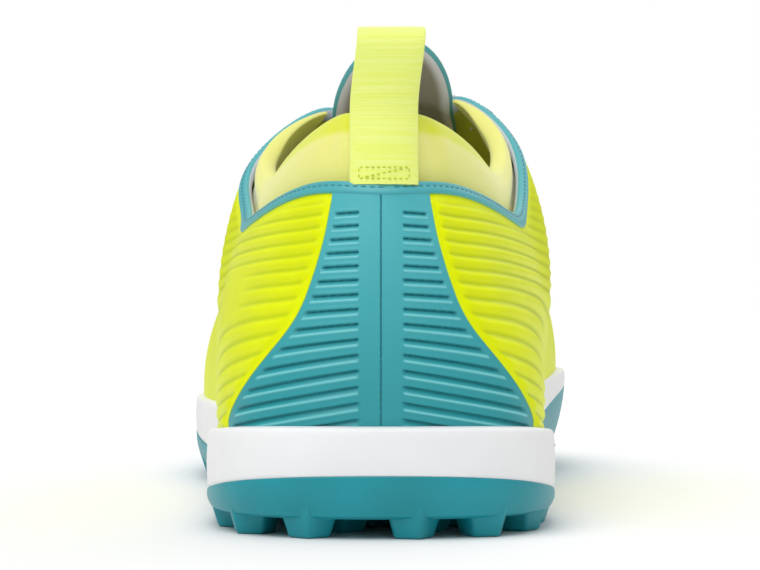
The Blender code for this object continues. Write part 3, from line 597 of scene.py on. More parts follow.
def rib_place(height, distance):
    """Which rib a place belongs to: whole numbers are valleys, which fall away from the heel."""
    fall = 0.045 + 0.125 * (1 - ease(0.028, 0.052, height))
    level = (height + fall * np.maximum(0, distance - 0.0044)) * 1000
    inside = np.maximum(1.0, RIB_STEP**2 - 4 * RIB_GAIN * (level - RIB_FIRST))
    return (RIB_STEP - np.sqrt(inside)) / (2 * RIB_GAIN)


def level_distance(points):
    """How far along the surface each place of a sheet's rows lies from the row's middle."""
    steps = np.linalg.norm(np.diff(points[..., :2], axis=1), axis=2)
    run = np.concatenate([np.zeros((len(points), 1)), np.cumsum(steps, axis=1)], axis=1)
    return np.abs(run - run[:, [points.shape[1] // 2]])


# columns of one side: under the panel, close at its edge, then wider on to the toe
near = [0.0, 0.15, 0.3, 0.5, 0.8, 1.2, 1.7, 2.3, 3.0]
middle = list(np.arange(3.9, 62.0, 0.95))
far = list(np.linspace(middle[-1] + 1.2, SIDE_MM, 105))
out_mm = np.array(near + middle + far)
hidden = np.array([0.0, 0.4, 0.8, 0.97, 1.0])
share_in = np.concatenate([hidden, np.ones(len(out_mm))])
share_out = np.concatenate([np.zeros(len(hidden)), out_mm / SIDE_MM])
mm_out = np.concatenate([np.full(len(hidden), -1.0), out_mm])
way_all = np.concatenate([-np.ones(len(share_in)), np.ones(len(share_in) - 1)])
share_in = np.concatenate([share_in[::-1], share_in[1:]])
share_out = np.concatenate([share_out[::-1], share_out[1:]])
mm_all = np.concatenate([mm_out[::-1], mm_out[1:]])
ups = np.linspace(0, 1, 176)


def skin_places(up):
    """s and t for every column at one share of the way up."""
    t = np.full_like(share_in, foot_t + (1 - foot_t) * up)
    for _ in range(5):
        edge = np.where(way_all > 0, edge_s(1, t), edge_s(-1, t))
        s = way_all * (edge * share_in + (0.5 - edge) * share_out)
        start = np.interp(s % 1.0, around, rim_t) - 0.04
        t = start + (1 - start) * up
    return s, t


places = [skin_places(up) for up in ups]
s_grid = np.array([s for s, t in places])
t_grid = np.array([t for s, t in places])
base = profile(s_grid, t_grid)
distance = level_distance(base)
rib = rib_place(base[..., 2], distance)
free = np.broadcast_to(mm_all, s_grid.shape)
to_edge = np.linalg.norm(base - base[-1], axis=2)
patch = np.where(base[..., 0] < 0, 1.0, 0.0)
for axis, centre, reach in zip((1, 2), PATCH_CENTRE, PATCH_REACH):
    patch = patch * np.exp(-(((base[..., axis] - centre) / reach) ** 4))
shown = free >= 0
strength = ease(1.3, 3.0, free) * ease(0.0010, 0.0040, to_edge) * (1 - 0.97 * patch)
strength = strength * (1 - ease(0.26, 0.50, base[..., 1] / LENGTH))
relief = RIB_HEIGHT * np.abs(np.sin(math.pi * rib)) ** 1.3
lift = np.where(shown, SKIN_RISE + LIP_RISE - LIP_RISE * ease(1.5, 9.0, free), UNDER_PANEL)
lift = lift - 0.0002 * (1 - ease(-0.05, 0.35, free)) * shown
lift = lift + strength * relief + RIB_HEIGHT * 0.55 * (1 - strength) * shown * ease(1.3, 3.0, free)
lift = lift - np.maximum(0, lift - SKIN_RISE) * (1 - ease(0.0002, 0.0030, to_edge))
outside = surface(s_grid, t_grid, lift)
turned = surface(s_grid[-1], np.ones_like(s_grid[-1]), -WALL / 2)
lining = []
for up in np.linspace(1, 0, 14):
    s, t = skin_places(up)
    lining.append(surface(s, np.clip(t, 0.002, 0.998), -WALL))
skin = np.concatenate([outside, [turned], lining, outside[:1]])
shown_rows = len(outside)
valley_shade_mark, inner_mark, edge_mark = np.zeros((3, *skin.shape[:2]))
# painted shade: a darker band along each rib valley, standing in for the shade the ribs cast there
from_valley = np.abs(rib + 0.10 - np.round(rib + 0.10))
valley_shade_mark[:shown_rows] = strength * np.clip(1.0 - 3.2 * from_valley, 0, 1)
inner_mark[shown_rows + 1 : -1] = 1.0
edge_mark[:shown_rows] = np.where(shown, 1 - ease(0.05, 0.30, free), 1.0)
tpu, tree, shader = material("moulded_tpu_skin", Roughness=0.42, Specular_IOR_Level=0.12)
# a thin polyurethane skin, dyed through: bright, a little glossy, with painted shade darkening its rib
# valleys and a fine leather grain; its cut edge beside the panel shows the teal layer under it, and its
# lining is duller
tint(
    tree, shader, linear("#e0ec00"),
    (linear("#e7f202"), between(tree, clouds(tree, 1 / 60), 0.3, 0.7)),
    # painted shade in the rib valleys
    (linear("#bfd000"), between(tree, mark(tree, "valley"), 0.0, 1.1)),
    (linear("#8fc46a"), between(tree, mark(tree, "cut_edge"), 0.3, 0.95)),
    (linear("#dfe04c"), between(tree, mark(tree, "lining"), 0.4, 0.6)),
)
grain(tree, shader, 0.0005, 0.00004)
bm = lay(skin, cut_edge=edge_mark, lining=inner_mark, valley=valley_shade_mark)
upper = make("upper_skin", bm, tpu, angle=60)
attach(upper, "root")
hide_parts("upper")

# Heel panel. Teal polyurethane moulded in one layer with louvred slots on both sides of a sewn seam.
# It lies in a window of the yellow skin, whose edge overlaps it, and holds the heel in shape.
SLOT_INNER = 0.00445
SLOT_MARGIN = 0.0011
SLOT_PITCH_MM = 3.0
SLOT_DEPTH = 0.00075
SEAM_DEPTH = 0.00030
PANEL_RISE = 0.0465
PANEL_OVERLAP = 1.010
PANEL_THICKNESS = 0.0006
across_list = np.unique(np.concatenate([
    np.linspace(0, 1, 76), [0.004, 0.008, 0.012, 0.018, 0.025, 0.033],
]))
across = np.concatenate([-across_list[::-1], across_list[1:]])
panel_shares = np.linspace(-0.03, 1.0, 246)


def panel_places(share):
    t = np.full_like(across, foot_t + (1 - foot_t) * share)
    edge = np.where(across > 0, edge_s(1, t), edge_s(-1, t))
    return across * edge * PANEL_OVERLAP, t


places = [panel_places(share) for share in panel_shares]
s_grid = np.array([s for s, t in places])
t_grid = np.array([t for s, t in places])
base = surface(s_grid, t_grid, PANEL_FACE)
distance = level_distance(base)
x_out = np.abs(base[..., 0])
half_here = counter_half(np.clip(panel_shares, 0, 1))[:, None]
rib = rib_place(base[..., 2], distance)
index = np.clip(np.round(rib), 0, 14)
offset = (rib - index) * SLOT_PITCH_MM
slope_edge = np.gradient(half_here[:, 0], panel_shares * PANEL_RISE)
slant = np.sqrt(1 + slope_edge**2)[:, None]
inner_end = ease(SLOT_INNER - 0.0002, SLOT_INNER + 0.0004, x_out)
outer_end = ease(SLOT_MARGIN - 0.0002, SLOT_MARGIN + 0.0003, (half_here - x_out) / slant)
# from the slot's dark upper lip down its ramp to the bright lower one, in millimetres from the valley
louvre = np.clip(np.where(offset > 0.22, (0.40 - offset) / 0.18, (offset + 0.80) / 1.02), 0.0, 1.0)
lip = hump(offset, -1.0, 0.28) * 0.30 + hump(offset, 0.62, 0.25) * 0.10
# painted shade: how strongly each slot's crease is darkened
crease_shade = hump(offset, 0.20, 0.20) + 0.40 * np.clip((offset + 0.9) / 1.1, 0, 1) * (offset < 0.2)
masked = inner_end * outer_end
seam_groove = hump(base[..., 0], 0.0, 0.00014) * ease(-0.02, 0.0, panel_shares)[:, None]
sunk = SLOT_DEPTH * masked * (louvre - lip) + SEAM_DEPTH * seam_groove
face = surface(s_grid, t_grid, PANEL_FACE - sunk)
polyurethane, tree, shader = material("moulded_polyurethane", Roughness=0.36, Specular_IOR_Level=0.35)
# soft polyurethane from a polished mould: satin teal with a faint leather grain; painted shade darkens it
# towards the foam and in the slots, and a painted highlight makes the slots' lower lips pale
height = node(tree, "SeparateXYZ", {"Vector": node(tree, "TexCoord").outputs["Object"]}).outputs["Z"]
tint(
    tree, shader, linear("#4aaeb6"),
    (linear("#54b7be"), between(tree, clouds(tree, 1 / 45), 0.3, 0.7)),
    # painted shade: darker low on the panel, standing in for light from above
    (linear("#2a98a0"), between(tree, height, 0.022, 0.072, start=1.0, end=0.0)),
    # painted highlight on the slots' lower lips
    (linear("#79d2d6"), between(tree, mark(tree, "raised"), 0.0, 1.2)),
    # painted shade in the slots' creases and the seam groove
    (linear("#1c7a84"), between(tree, mark(tree, "depth"), 0.0, 1.3)),
)
grain(tree, shader, 0.0006, 0.00004)
# painted shade: the slots' creases and the seam groove are marked darker
slot_shade_mark = np.clip(masked * crease_shade + seam_groove, 0, 1)
# painted highlight: the slots' lower lips are marked paler
bm = lay(face, out=(0.0, 0.0, 0.045), depth=slot_shade_mark, raised=masked * hump(offset, -1.05, 0.26))
panel = make("heel_panel", bm, polyurethane, angle=70)
wall_maker = panel.modifiers.new("wall", "SOLIDIFY")
wall_maker.thickness = PANEL_THICKNESS
wall_maker.offset = -1
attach(panel, "root")
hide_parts("heel_counter")

# Stitching of the panel. Bonded polyester thread, darker than the panel: a close zigzag over the
# centre seam. Each stitch lies in the soft polyurethane.
thread, tree, shader = material("bonded_polyester_thread", Roughness=0.55, Sheen_Weight=0.3)
# bonded thread: slightly waxy, with a twist too fine to show drawn as a change of shade
bloom(tree, shader, "#14727b", "#1f868e", 0.0008)


def sew(bm, centre, run, up, length, width, height):
    """One stitch: a small rounded bead along run, with up away from the surface."""
    run, up = Vector(run).normalized(), Vector(up).normalized()
    cross = up.cross(run).normalized()
    made = bmesh.ops.create_icosphere(bm, subdivisions=1, radius=1.0)["verts"]
    frame_of = Matrix((run * length / 2, cross * width / 2, up * height / 2)).transposed().to_4x4()
    frame_of.translation = Vector(centre) - Vector((0.0, LENGTH / 2, 0.0))
    bmesh.ops.transform(bm, matrix=frame_of, verts=made)


def sew_row(bm, points, normals, pitch, bead):
    """Stitches at an even pitch along a line of close points."""
    run = run_along(points)
    for k in range(int(run[-1] / pitch)):
        i = min(len(points) - 2, int(np.interp(k * pitch, run, np.arange(len(points)))))
        sew(bm, points[i], points[i + 1] - points[i], normals[i], *bead)


bm = bmesh.new()
seam_t = foot_t + (1 - foot_t) * np.linspace(0.02, 0.985, 31)
seam_points = surface(np.zeros_like(seam_t), seam_t, PANEL_FACE - 0.0001)
seam_normals = normal(np.zeros_like(seam_t), seam_t)
for k, (point, up) in enumerate(zip(seam_points, seam_normals)):
    sew(bm, point, (0.45 if k % 2 else -0.45, 0.0, 1.0), up, 0.0010, 0.00028, 0.0003)
seam_thread = make("heel_seam_stitches", bm, thread)
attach(seam_thread, "root")

# Edge binding. The teal layer rolled over the top line all round the collar and the throat, and sewn
# through beside the fold. Below the stitches it lies flat on the skin.
BINDING = 0.0022
BINDING_STITCH = 0.0018


def edge_distance_t(s, distance):
    foot, low, high, edge = handles(s)
    return 1 - distance / (3 * np.linalg.norm(edge - high, axis=-1))


binding_s = np.linspace(0, 1, 421)
dips = [KNOTS[3] + 0.004, KNOTS[19] - 0.004]
cover = 0.0006 + 0.0010 * sum(hump(binding_s, dip, 0.014) for dip in dips)
edge, up, n = profile(binding_s, 1.0), climb(binding_s), normal(binding_s, 1.0)


def beyond_edge(out, rise):
    return edge + n * out + up * rise


def below_edge(distance, out):
    t = edge_distance_t(binding_s, distance)
    return surface(binding_s, t, out)


inner_foot = np.full_like(cover, 0.0008)
section = np.array([
    below_edge(cover + 0.0001, 0.0003), below_edge(cover, 0.0009), below_edge(cover - 0.0002, 0.00112),
    below_edge(cover * 0.5, 0.00116), beyond_edge(0.00114, 0.0000), beyond_edge(0.00105, 0.0005),
    beyond_edge(0.00080, 0.0010), beyond_edge(0.00068, 0.0012), beyond_edge(0.00070, 0.0015),
    beyond_edge(0.00055, 0.00185), beyond_edge(0.00020, 0.00212), beyond_edge(-0.00030, 0.00224),
    beyond_edge(-0.0008, 0.00214), beyond_edge(-0.0013, 0.0018), beyond_edge(-0.00165, 0.0012),
    beyond_edge(-0.0018, 0.0004), below_edge(inner_foot, -0.00185), below_edge(inner_foot, -0.0010),
    below_edge(cover + 0.0001, 0.0003),
])
lip_mark = np.zeros(section.shape[:2])
lip_mark[12:17] = 1.0
tape, tree, shader = material("rolled_polyurethane_tape", Roughness=0.40, Specular_IOR_Level=0.45)
# the panel's polyurethane, satin, with its pale textile backing at the inner side of the fold
tint(tree, shader, linear("#47a9b1"), (linear("#cfd6dc"), between(tree, mark(tree, "fold"), 0.1, 0.9)))
grain(tree, shader, 0.0006, 0.00004)
binding = make("edge_binding_roll", lay(section, fold=lip_mark), tape, angle=60)
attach(binding, "root")
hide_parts("edge_binding")

bm = bmesh.new()
fine_s = np.linspace(0, 1, 4001)
row_points = profile(fine_s, 1.0) + normal(fine_s, 1.0) * 0.00080 + climb(fine_s) * 0.0010
sew_row(bm, row_points, normal(fine_s, 1.0), BINDING_STITCH, (0.0013, 0.00036, 0.0004))
binding_thread = make("binding_stitches", bm, thread)
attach(binding_thread, "root")

# Collar. A padded sock of pale stretch knit over foam, sewn in behind the binding. It stands above the
# top line, highest at the heel, and its rim is rolled over in a brighter knit.
COLLAR_PADDING = 0.0033
COLLAR_SWELL = 0.0014
COLLAR_HOLD = 0.013
COLLAR_SLACK = 0.00055
THROAT_FIRST, THROAT_LAST = 6, 16


def rounded(loops, steps):
    """Closed loops of corner points (loop, corner, xyz) drawn as smooth curves through them."""
    before, after, beyond = np.roll(loops, 1, axis=1), np.roll(loops, -1, axis=1), np.roll(loops, -2, axis=1)
    parts = []
    for k in range(steps):
        t = k / steps
        parts.append(0.5 * (
            2 * loops + (after - before) * t + (2 * before - 5 * loops + 4 * after - beyond) * t * t
            + (3 * loops - before - 3 * after + beyond) * t**3
        ))
    smooth = np.stack(parts, axis=2).reshape(loops.shape[0], -1, 3)
    return np.concatenate([smooth, smooth[:, :1]], axis=1)


collar_s = np.linspace(KNOTS[THROAT_LAST] + 0.006, 1 + KNOTS[THROAT_FIRST] - 0.006, 261)
slack = WALL + COLLAR_SLACK
lift = round_at(collar_s)[:, 7]
swell = np.minimum(COLLAR_SWELL, 0.2 * lift)
edge, up, n = profile(collar_s, 1.0), climb(collar_s), normal(collar_s, 1.0)
held_t = edge_distance_t(collar_s, COLLAR_HOLD)
clear = BINDING + GAP
# the way round from the middle of the heel, in steps of about a third of a millimetre
around_heel = (collar_s - 1.0) * 640
from_end = np.minimum(collar_s - collar_s[0], collar_s[-1] - collar_s)
padding = COLLAR_PADDING * (0.25 + 0.75 * ease(0.0, 0.030, from_end))


def out_by(out, rise):
    out, rise = np.broadcast_to(out, lift.shape), np.broadcast_to(rise, lift.shape)
    return edge + n * out[:, None] + up * rise[:, None]


# soft folds of the knit: height, place and width
fold = sum(height * hump(around_heel, place, width) for height, place, width in [
    (0.0005, 8.5, 2.2), (-0.0004, 12.5, 2.4), (0.0005, -9.0, 2.4),
    (-0.0005, -27, 5.0), (0.0004, -34, 4.0), (-0.0004, 26, 4.0),
])
corners = np.stack([
    surface(collar_s, held_t, -slack),
    surface(collar_s, 0.5 * (held_t + 1), -slack),
    out_by(-slack, 0.0),
    out_by(-slack + 0.1 * swell, clear * 0.8),
    out_by(-slack + 0.8 * swell + 0.5 * fold, clear + 0.22 * lift),
    out_by(-slack + 1.1 * swell + fold, clear + 0.50 * lift),
    out_by(-slack + 0.9 * swell + 0.7 * fold, clear + 0.74 * lift),
    out_by(-slack + 0.55 * swell, clear + 0.90 * lift),
    out_by(-slack - 0.20 * padding, clear + 1.0 * lift),
    out_by(-slack - 0.75 * padding, clear + 0.98 * lift),
    out_by(-slack - padding, clear + 0.70 * lift),
    out_by(-slack - padding - 0.3 * swell, 0.0),
    surface(collar_s, 0.5 * (held_t + 1), -slack - 0.8 * padding),
    surface(collar_s, held_t, -slack - 0.35 * padding),
], axis=1)
loops = rounded(corners, 4)
corner_rim = [0, 0, 0, 0, 0, 0, 0.75, 1, 1, 1, 0.6, 0, 0, 0]
corner_strip = [0, 0, 0.5, 1, 0.7, 0, 0, 0, 0, 0, 0, 0, 0, 0]
corner_lined = [0, 0, 0, 0, 0, 0, 0, 0, 0, 0, 0.5, 1, 1, 1]


def along_corners(values):
    places = np.arange(len(values) * 4 + 1) / 4
    smooth = np.interp(places, np.arange(len(values) + 1), np.append(values, values[0]))
    return np.broadcast_to(smooth[:, None], (len(smooth), len(collar_s)))


front = along_corners(corner_strip) * ease(86, 112, np.abs(around_heel))
at_heel = 1 - ease(56, 96, np.abs(around_heel))
knit, tree, shader = material("stretch_knit", Roughness=0.85, Sheen_Weight=0.35, Sheen_Roughness=0.5)
# fine two-way stretch knit over foam: matt, softly napped, paler where it is stretched over the padding;
# its wales are finer than a pixel and drawn at 0.8 mm
weave = node(tree, "SeparateXYZ", {"Vector": node(tree, "UVMap", uv_map="weave").outputs["UV"]})
wales, courses = wave(tree, weave.outputs[0], 0.0008), wave(tree, weave.outputs[1], 0.0011)
loop_height = node(tree, "Math", {0: wales, 1: courses}, operation="MULTIPLY").outputs[0]
emboss(tree, shader, loop_height, 0.25, 0.0001)
tint(
    tree, shader, linear("#eceb80"),
    (linear("#dfe62a"), between(tree, mark(tree, "rim"), 0.35, 0.75)),
    (linear("#dcdddb"), mark(tree, "front")),
    (linear("#ecee4e"), between(tree, mark(tree, "lined"), 0.1, 0.7)),
)
bm = lay(
    loops.transpose(1, 0, 2), fill=True, rim=along_corners(corner_rim) * at_heel,
    lined=along_corners(corner_lined), front=front,
)
collar = make("collar_sock", bm, knit, angle=80)
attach(collar, "root")
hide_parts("collar")

# Tongue. Two layers of knit over thin foam under the throat: teal outside, grey brushed lining inside,
# with a pale bound edge. It runs in under the vamp and ends in a round top behind the laces.
TONGUE_THICKNESS = 0.0032
TONGUE_TOP = 0.0157
TONGUE_HALF_WIDTH = 0.0165
TONGUE_FLARE = 0.0015
TONGUE_TUCK = 0.014
TUCK_SLOPE = 27
THROAT_FRONT_OUTER, THROAT_FRONT_INNER = 9, 13


def instep_line(v):
    """Points across the instep at v: up the outer side, over the open throat, down the inner side."""
    outer = KNOTS[THROAT_FIRST] + (KNOTS[THROAT_FRONT_OUTER] - KNOTS[THROAT_FIRST]) * v
    inner = KNOTS[THROAT_LAST] + (KNOTS[THROAT_FRONT_INNER] - KNOTS[THROAT_LAST]) * v
    low_t = np.linspace(0.62, 1.0, 21)
    first, last = profile(np.full(21, outer), low_t), profile(np.full(21, inner), low_t[::-1])
    start, end = first[-1], last[0]
    handle = 0.36 * np.linalg.norm(end - start)
    a, b = start + climb(np.array([outer]))[0] * handle, end + climb(np.array([inner]))[0] * handle
    t = np.linspace(0, 1, 26)[1:-1, None]
    u = 1 - t
    bridge = start * u**3 + a * 3 * u * u * t + b * 3 * u * t * t + end * t**3
    line = np.vstack([first, bridge, last])
    run = run_along(line)
    return line, run, run[20], run[20 + len(bridge) + 1]


def instep(v, across):
    line, run, first, last = instep_line(v)
    place = (first + last) / 2 + np.asarray(across)
    return np.stack([np.interp(place, run, line[:, k]) for k in range(3)], axis=-1)


def throat_half(v):
    line, run, first, last = instep_line(v)
    return (last - first) / 2


def instep_normal(v, across):
    along = instep(v + 0.02, across) - instep(v - 0.02, across)
    over = instep(v, across + 0.0012) - instep(v, across - 0.0012)
    return unit(np.cross(over, along))


def instep_surface(v, across, offset):
    return instep(v, across) + instep_normal(v, across) * np.asarray(offset)[..., None]


depth = WALL + 2 * GAP
turns = np.linspace(0, 2 * math.pi, 57)
tongue_x, tongue_h = blunt(np.cos(turns), 0.55), blunt(np.sin(turns), 0.55)


def tongue_row(v, half, thickness=TONGUE_THICKNESS, puff=0.0):
    """One section of the tongue, round its edge, at v along the throat."""
    lift = puff + tongue_h * thickness / 2 - depth - TONGUE_THICKNESS / 2
    return instep_surface(v, tongue_x * half, lift)


rows, tongue_rim = [], []
lean = unit(np.array([0.02, -0.62, 1.0]))
for rise in np.sin(np.linspace(math.pi / 2, 0.0, 16))[:-1]:
    half = max(0.003, (TONGUE_HALF_WIDTH + TONGUE_FLARE) * (1 - (0.99 * rise) ** 2.2) ** 0.5)
    rows.append(tongue_row(0.0, half, TONGUE_THICKNESS * (1 - 0.35 * rise**8)) + lean * TONGUE_TOP * rise)
    tongue_rim.append(np.minimum(half * (1 - np.abs(tongue_x)), TONGUE_TOP * (1 - rise) + 0.0002))
for v in np.linspace(0, 1, 30):
    half = TONGUE_HALF_WIDTH + TONGUE_FLARE * (1 - v)
    quilt = 0.00025 * math.sin(v * 26) * (1 - np.abs(tongue_x) ** 4)
    rows.append(tongue_row(v, half, puff=quilt * (tongue_h > 0)))
    tongue_rim.append(half * (1 - np.abs(tongue_x)))
tuck = TONGUE_TUCK * np.array([0.0, math.cos(math.radians(TUCK_SLOPE)), -math.sin(math.radians(TUCK_SLOPE))])
for reach in (0.35, 0.7, 1.0):
    half = TONGUE_HALF_WIDTH * (1 - 0.12 * reach)
    rows.append(tongue_row(1.0, half) + tuck * reach)
    tongue_rim.append(half * (1 - np.abs(tongue_x)))
rim_mm = np.array(tongue_rim) * 1000
lining_side = np.broadcast_to((tongue_h < 0.85) * 1.0, rim_mm.shape)
layered, tree, shader = material("foam_backed_knit", Roughness=0.85, Sheen_Weight=0.3)
# teal knit outside and a brushed grey lining inside, joined at a pale sewn edge
weave = node(tree, "UVMap", uv_map="weave").outputs["UV"]
cells = node(tree, "TexVoronoi", {"Vector": weave, "Scale": 1 / 0.0012})
emboss(tree, shader, cells.outputs["Distance"], 0.4, 0.0001)
from_rim = mark(tree, "from_rim")
tint(
    tree, shader, linear("#d6d5d6"),
    (linear("#8d8977"), between(tree, from_rim, 1.0, 5.0)),
    (linear("#4f9fa2"), between(tree, from_rim, 0.15, 0.45, start=1.0, end=0.0)),
    (linear("#3d999e"), between(tree, mark(tree, "inner_side"), 0.3, 0.7, start=1.0, end=0.0)),
)
bm = lay(np.array(rows), fill=True, from_rim=rim_mm, inner_side=lining_side)
tongue = make("tongue_pad", bm, layered, angle=80)
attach(tongue, "root")
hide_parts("tongue")

# Eyestay. A facing of teal polyurethane sewn round the throat, which spreads the pull of the laces. Its
# holes are punched and rimmed, and a row of stitches follows its edge.
EYESTAY_WIDTH = 0.0135
EYESTAY_THICKNESS = 0.0009
EYELET_PAIRS = 5
EYELET_RADIUS = 0.0019
EYELET_FROM_EDGE = 0.0068
EYELET_BEAD = 0.00035
STAY_STITCH = 0.002
STITCH_SHARE = 0.86
stay_s = np.linspace(KNOTS[THROAT_FIRST] - 0.015, KNOTS[THROAT_LAST] + 0.015, 241)
from_end = np.minimum(stay_s - stay_s[0], stay_s[-1] - stay_s)
stay_width = EYESTAY_WIDTH * (0.25 + 0.75 * np.sqrt(ease(0.0, 0.03, from_end)))


def t_below_edge(s, distance):
    """Where each profile is a distance below its top edge, measured along it."""
    t = np.linspace(1, 0.3, 141)
    line = profile(s[None, :], np.broadcast_to(t[:, None], (len(t), len(s))))
    run = np.vstack([np.zeros(len(s)), np.cumsum(np.linalg.norm(np.diff(line, axis=0), axis=2), axis=0)])
    return np.array([np.interp(distance[i], run[:, i], t) for i in range(len(s))])


stay_rows = []
# the facing's section: share of its width from the throat, and height off the shell
for share, off in [
    (1.0, 0.0003), (1.0, 0.0011), (0.985, 0.0014), (0.96, 0.0015), (0.9, 0.00155), (0.86, 0.00150),
    (0.82, 0.00158), (0.7, 0.0016), (0.5, 0.0016), (0.3, 0.0016), (0.12, 0.0015), (0.02, 0.00120),
    (0.0, 0.0007), (0.02, 0.0004), (0.5, 0.0004), (1.0, 0.0003),
]:
    stay_rows.append(surface(stay_s, np.minimum(0.9995, t_below_edge(stay_s, stay_width * share)), off))
stay_finish, tree, shader = material("calendered_polyurethane", Roughness=0.45)
# a facing cut from sheet: smooth satin teal, a shade deeper than the panel
bloom(tree, shader, "#378f94", "#42999e", 0.02)
grain(tree, shader, 0.0006, 0.00005, strength=0.6)
eyestay = make("eyestay_facing", lay(np.array(stay_rows), fill=True), stay_finish, angle=60)
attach(eyestay, "root")
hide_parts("eyestay")

eyelets = []
for k in range(EYELET_PAIRS):
    v = 0.10 + 0.80 * k / (EYELET_PAIRS - 1)
    eyelets.append((v, throat_half(v) + EYELET_FROM_EDGE))
bm = bmesh.new()
for v, from_middle in eyelets:
    for way in (-1, 1):
        place = instep(v, np.array([way * from_middle]))[0]
        axis = Vector(instep_normal(v, np.array([way * from_middle]))[0])
        known = set(bm.verts)
        ring = bmesh.ops.create_circle(bm, cap_ends=False, segments=12, radius=EYELET_BEAD)["verts"]
        bmesh.ops.rotate(bm, verts=ring, matrix=Matrix.Rotation(math.radians(90), 3, "X"))
        bmesh.ops.translate(bm, verts=ring, vec=(EYELET_RADIUS + 0.0003, 0, 0))
        edges = list({e for vert in ring for e in vert.link_edges})
        bmesh.ops.spin(
            bm, geom=ring + edges, cent=(0, 0, 0), axis=(0, 0, 1), angle=math.radians(360), steps=24,
            use_merge=True,
        )
        fresh = [vert for vert in bm.verts if vert not in known]
        turn = Vector((0, 0, 1)).rotation_difference(axis).to_matrix()
        bmesh.ops.rotate(bm, verts=fresh, matrix=turn)
        spot = Vector(place) + axis * 0.0016 - Vector((0, LENGTH / 2, 0))
        bmesh.ops.translate(bm, verts=fresh, vec=spot)
bmesh.ops.remove_doubles(bm, verts=bm.verts, dist=1e-7)
bmesh.ops.recalc_face_normals(bm, faces=bm.faces)
rims = make("eyelet_rims", bm, stay_finish)
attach(rims, "root")

bm = bmesh.new()
sewn_s = np.linspace(stay_s[0] + 0.006, stay_s[-1] - 0.006, 1600)
sewn_t = t_below_edge(sewn_s, np.interp(sewn_s, stay_s, stay_width) * STITCH_SHARE)
sewn_points = surface(sewn_s, sewn_t, 0.00150)
sew_row(bm, sewn_points, normal(sewn_s, sewn_t), STAY_STITCH, (0.0015, 0.0004, 0.0004))
stay_thread = make("eyestay_stitches", bm, thread)
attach(stay_thread, "root")

# Lace. Flat woven polyester, white, in crossings over the tongue from a bar at the front up to the top
# eyelets. Each run goes down through the eyelets at its ends.
LACE_WIDTH = 0.0055
LACE_THICKNESS = 0.0012
LACE_DIVE = 0.0045
lift = 3 * GAP + EYESTAY_THICKNESS + LACE_THICKNESS / 2 + 0.00035
lace_runs = [(eyelets[-1], eyelets[-1])]
for rear, fore in zip(eyelets, eyelets[1:]):
    lace_runs += [(rear, fore), (fore, rear)]
lace_meshes = []
for k, ((v_outer, a_outer), (v_inner, a_inner)) in enumerate(lace_runs):
    shares_along = np.linspace(-0.02, 1.02, 45)
    height = lift + LACE_THICKNESS * (0.03 * k + 0.3 * (k % 2))
    path, ups_here = [], []
    for share in shares_along:
        v = v_outer + (v_inner - v_outer) * share
        span = a_outer + a_inner
        down = LACE_DIVE * (1 - float(ease(-0.0008, 0.0030, min(share, 1 - share) * span)))
        across_at = np.array([-a_outer + span * share])
        path.append(instep_surface(v, across_at, height - down)[0])
        ups_here.append(instep_normal(v, across_at)[0])
    path, ups_here = np.array(path), np.array(ups_here)
    runs = unit(np.gradient(path, axis=0))
    sides = unit(np.cross(runs, ups_here))
    ups_here = unit(np.cross(sides, runs))
    from_end = np.minimum(shares_along, 1 - shares_along) * (a_outer + a_inner)
    narrow = 0.62 + 0.38 * ease(0.0, 0.0060, from_end)
    ring = []
    for a in np.linspace(0, 2 * math.pi, 21):
        w, h = blunt(math.cos(a), 0.6) * LACE_WIDTH / 2, blunt(math.sin(a), 0.8) * LACE_THICKNESS / 2
        ring.append(path + sides * (w * narrow)[:, None] + ups_here * h)
    lace_meshes.append(lay(np.array(ring)))
flat_weave, tree, shader = material("woven_polyester_lace", Roughness=0.8, Sheen_Weight=0.25)
# flat tubular weave: white, matt, a herringbone of about a millimetre drawn along the lace
weave = node(tree, "SeparateXYZ", {"Vector": node(tree, "UVMap", uv_map="weave").outputs["UV"]})
slanted = node(tree, "Math", {0: weave.outputs[0], 1: weave.outputs[1]}, operation="ADD").outputs[0]
twill = wave(tree, slanted, 0.0009)
tint(tree, shader, linear("#e9e9e6"), (linear("#f6f6f4"), between(tree, twill, -1.0, 1.0)))
emboss(tree, shader, twill, 0.5, 0.00015)
joined = bmesh.new()
for part in lace_meshes:
    scratch = bpy.data.meshes.new("lace_run")
    bmesh.ops.holes_fill(part, edges=part.edges, sides=0)
    bmesh.ops.recalc_face_normals(part, faces=part.faces)
    part.to_mesh(scratch)
    part.free()
    joined.from_mesh(scratch)
    bpy.data.meshes.remove(scratch)
lace = make("lace_crossings", joined, flat_weave, angle=60)
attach(lace, "root")
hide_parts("lace")

# Pull loop. Lime polyester webbing folded over the back of the collar, one leg sewn outside it with a
# small box of stitches and one inside. The weft shows as fine ridges across it.
LOOP_WIDTH = 0.014
LOOP_THICKNESS = 0.0013
LOOP_TOP = 0.1043
LOOP_SHIFT = 0.0006
LOOP_LEAN = 0.0016
LOOP_INNER_RISE = 0.003
half = LOOP_THICKNESS / 2
heel_edge, heel_up, heel_n = profile(0.0, 1.0), climb(0.0), normal(0.0, 1.0)
outside = -WALL + COLLAR_SWELL + half + 0.0002
inside = -WALL - COLLAR_PADDING - COLLAR_SWELL - 4 * GAP - half
over = BINDING + GAP + COLLAR_RISE
outer_foot = heel_edge + heel_n * outside + heel_up * (BINDING - 0.0006)
inner_foot = heel_edge + heel_n * inside + heel_up * (BINDING + LOOP_INNER_RISE)
outer_rim = heel_edge + heel_n * outside + heel_up * over
inner_rim = heel_edge + heel_n * inside + heel_up * over
radius = (inner_rim[1] - outer_rim[1]) / 2
crown = np.array([0, outer_rim[1] + radius, LOOP_TOP - half - radius])
rear, fore = crown - np.array([0, radius, 0]), crown + np.array([0, radius, 0])


def part_way(start, end, count):
    return [start + (end - start) * k / count for k in range(count)]


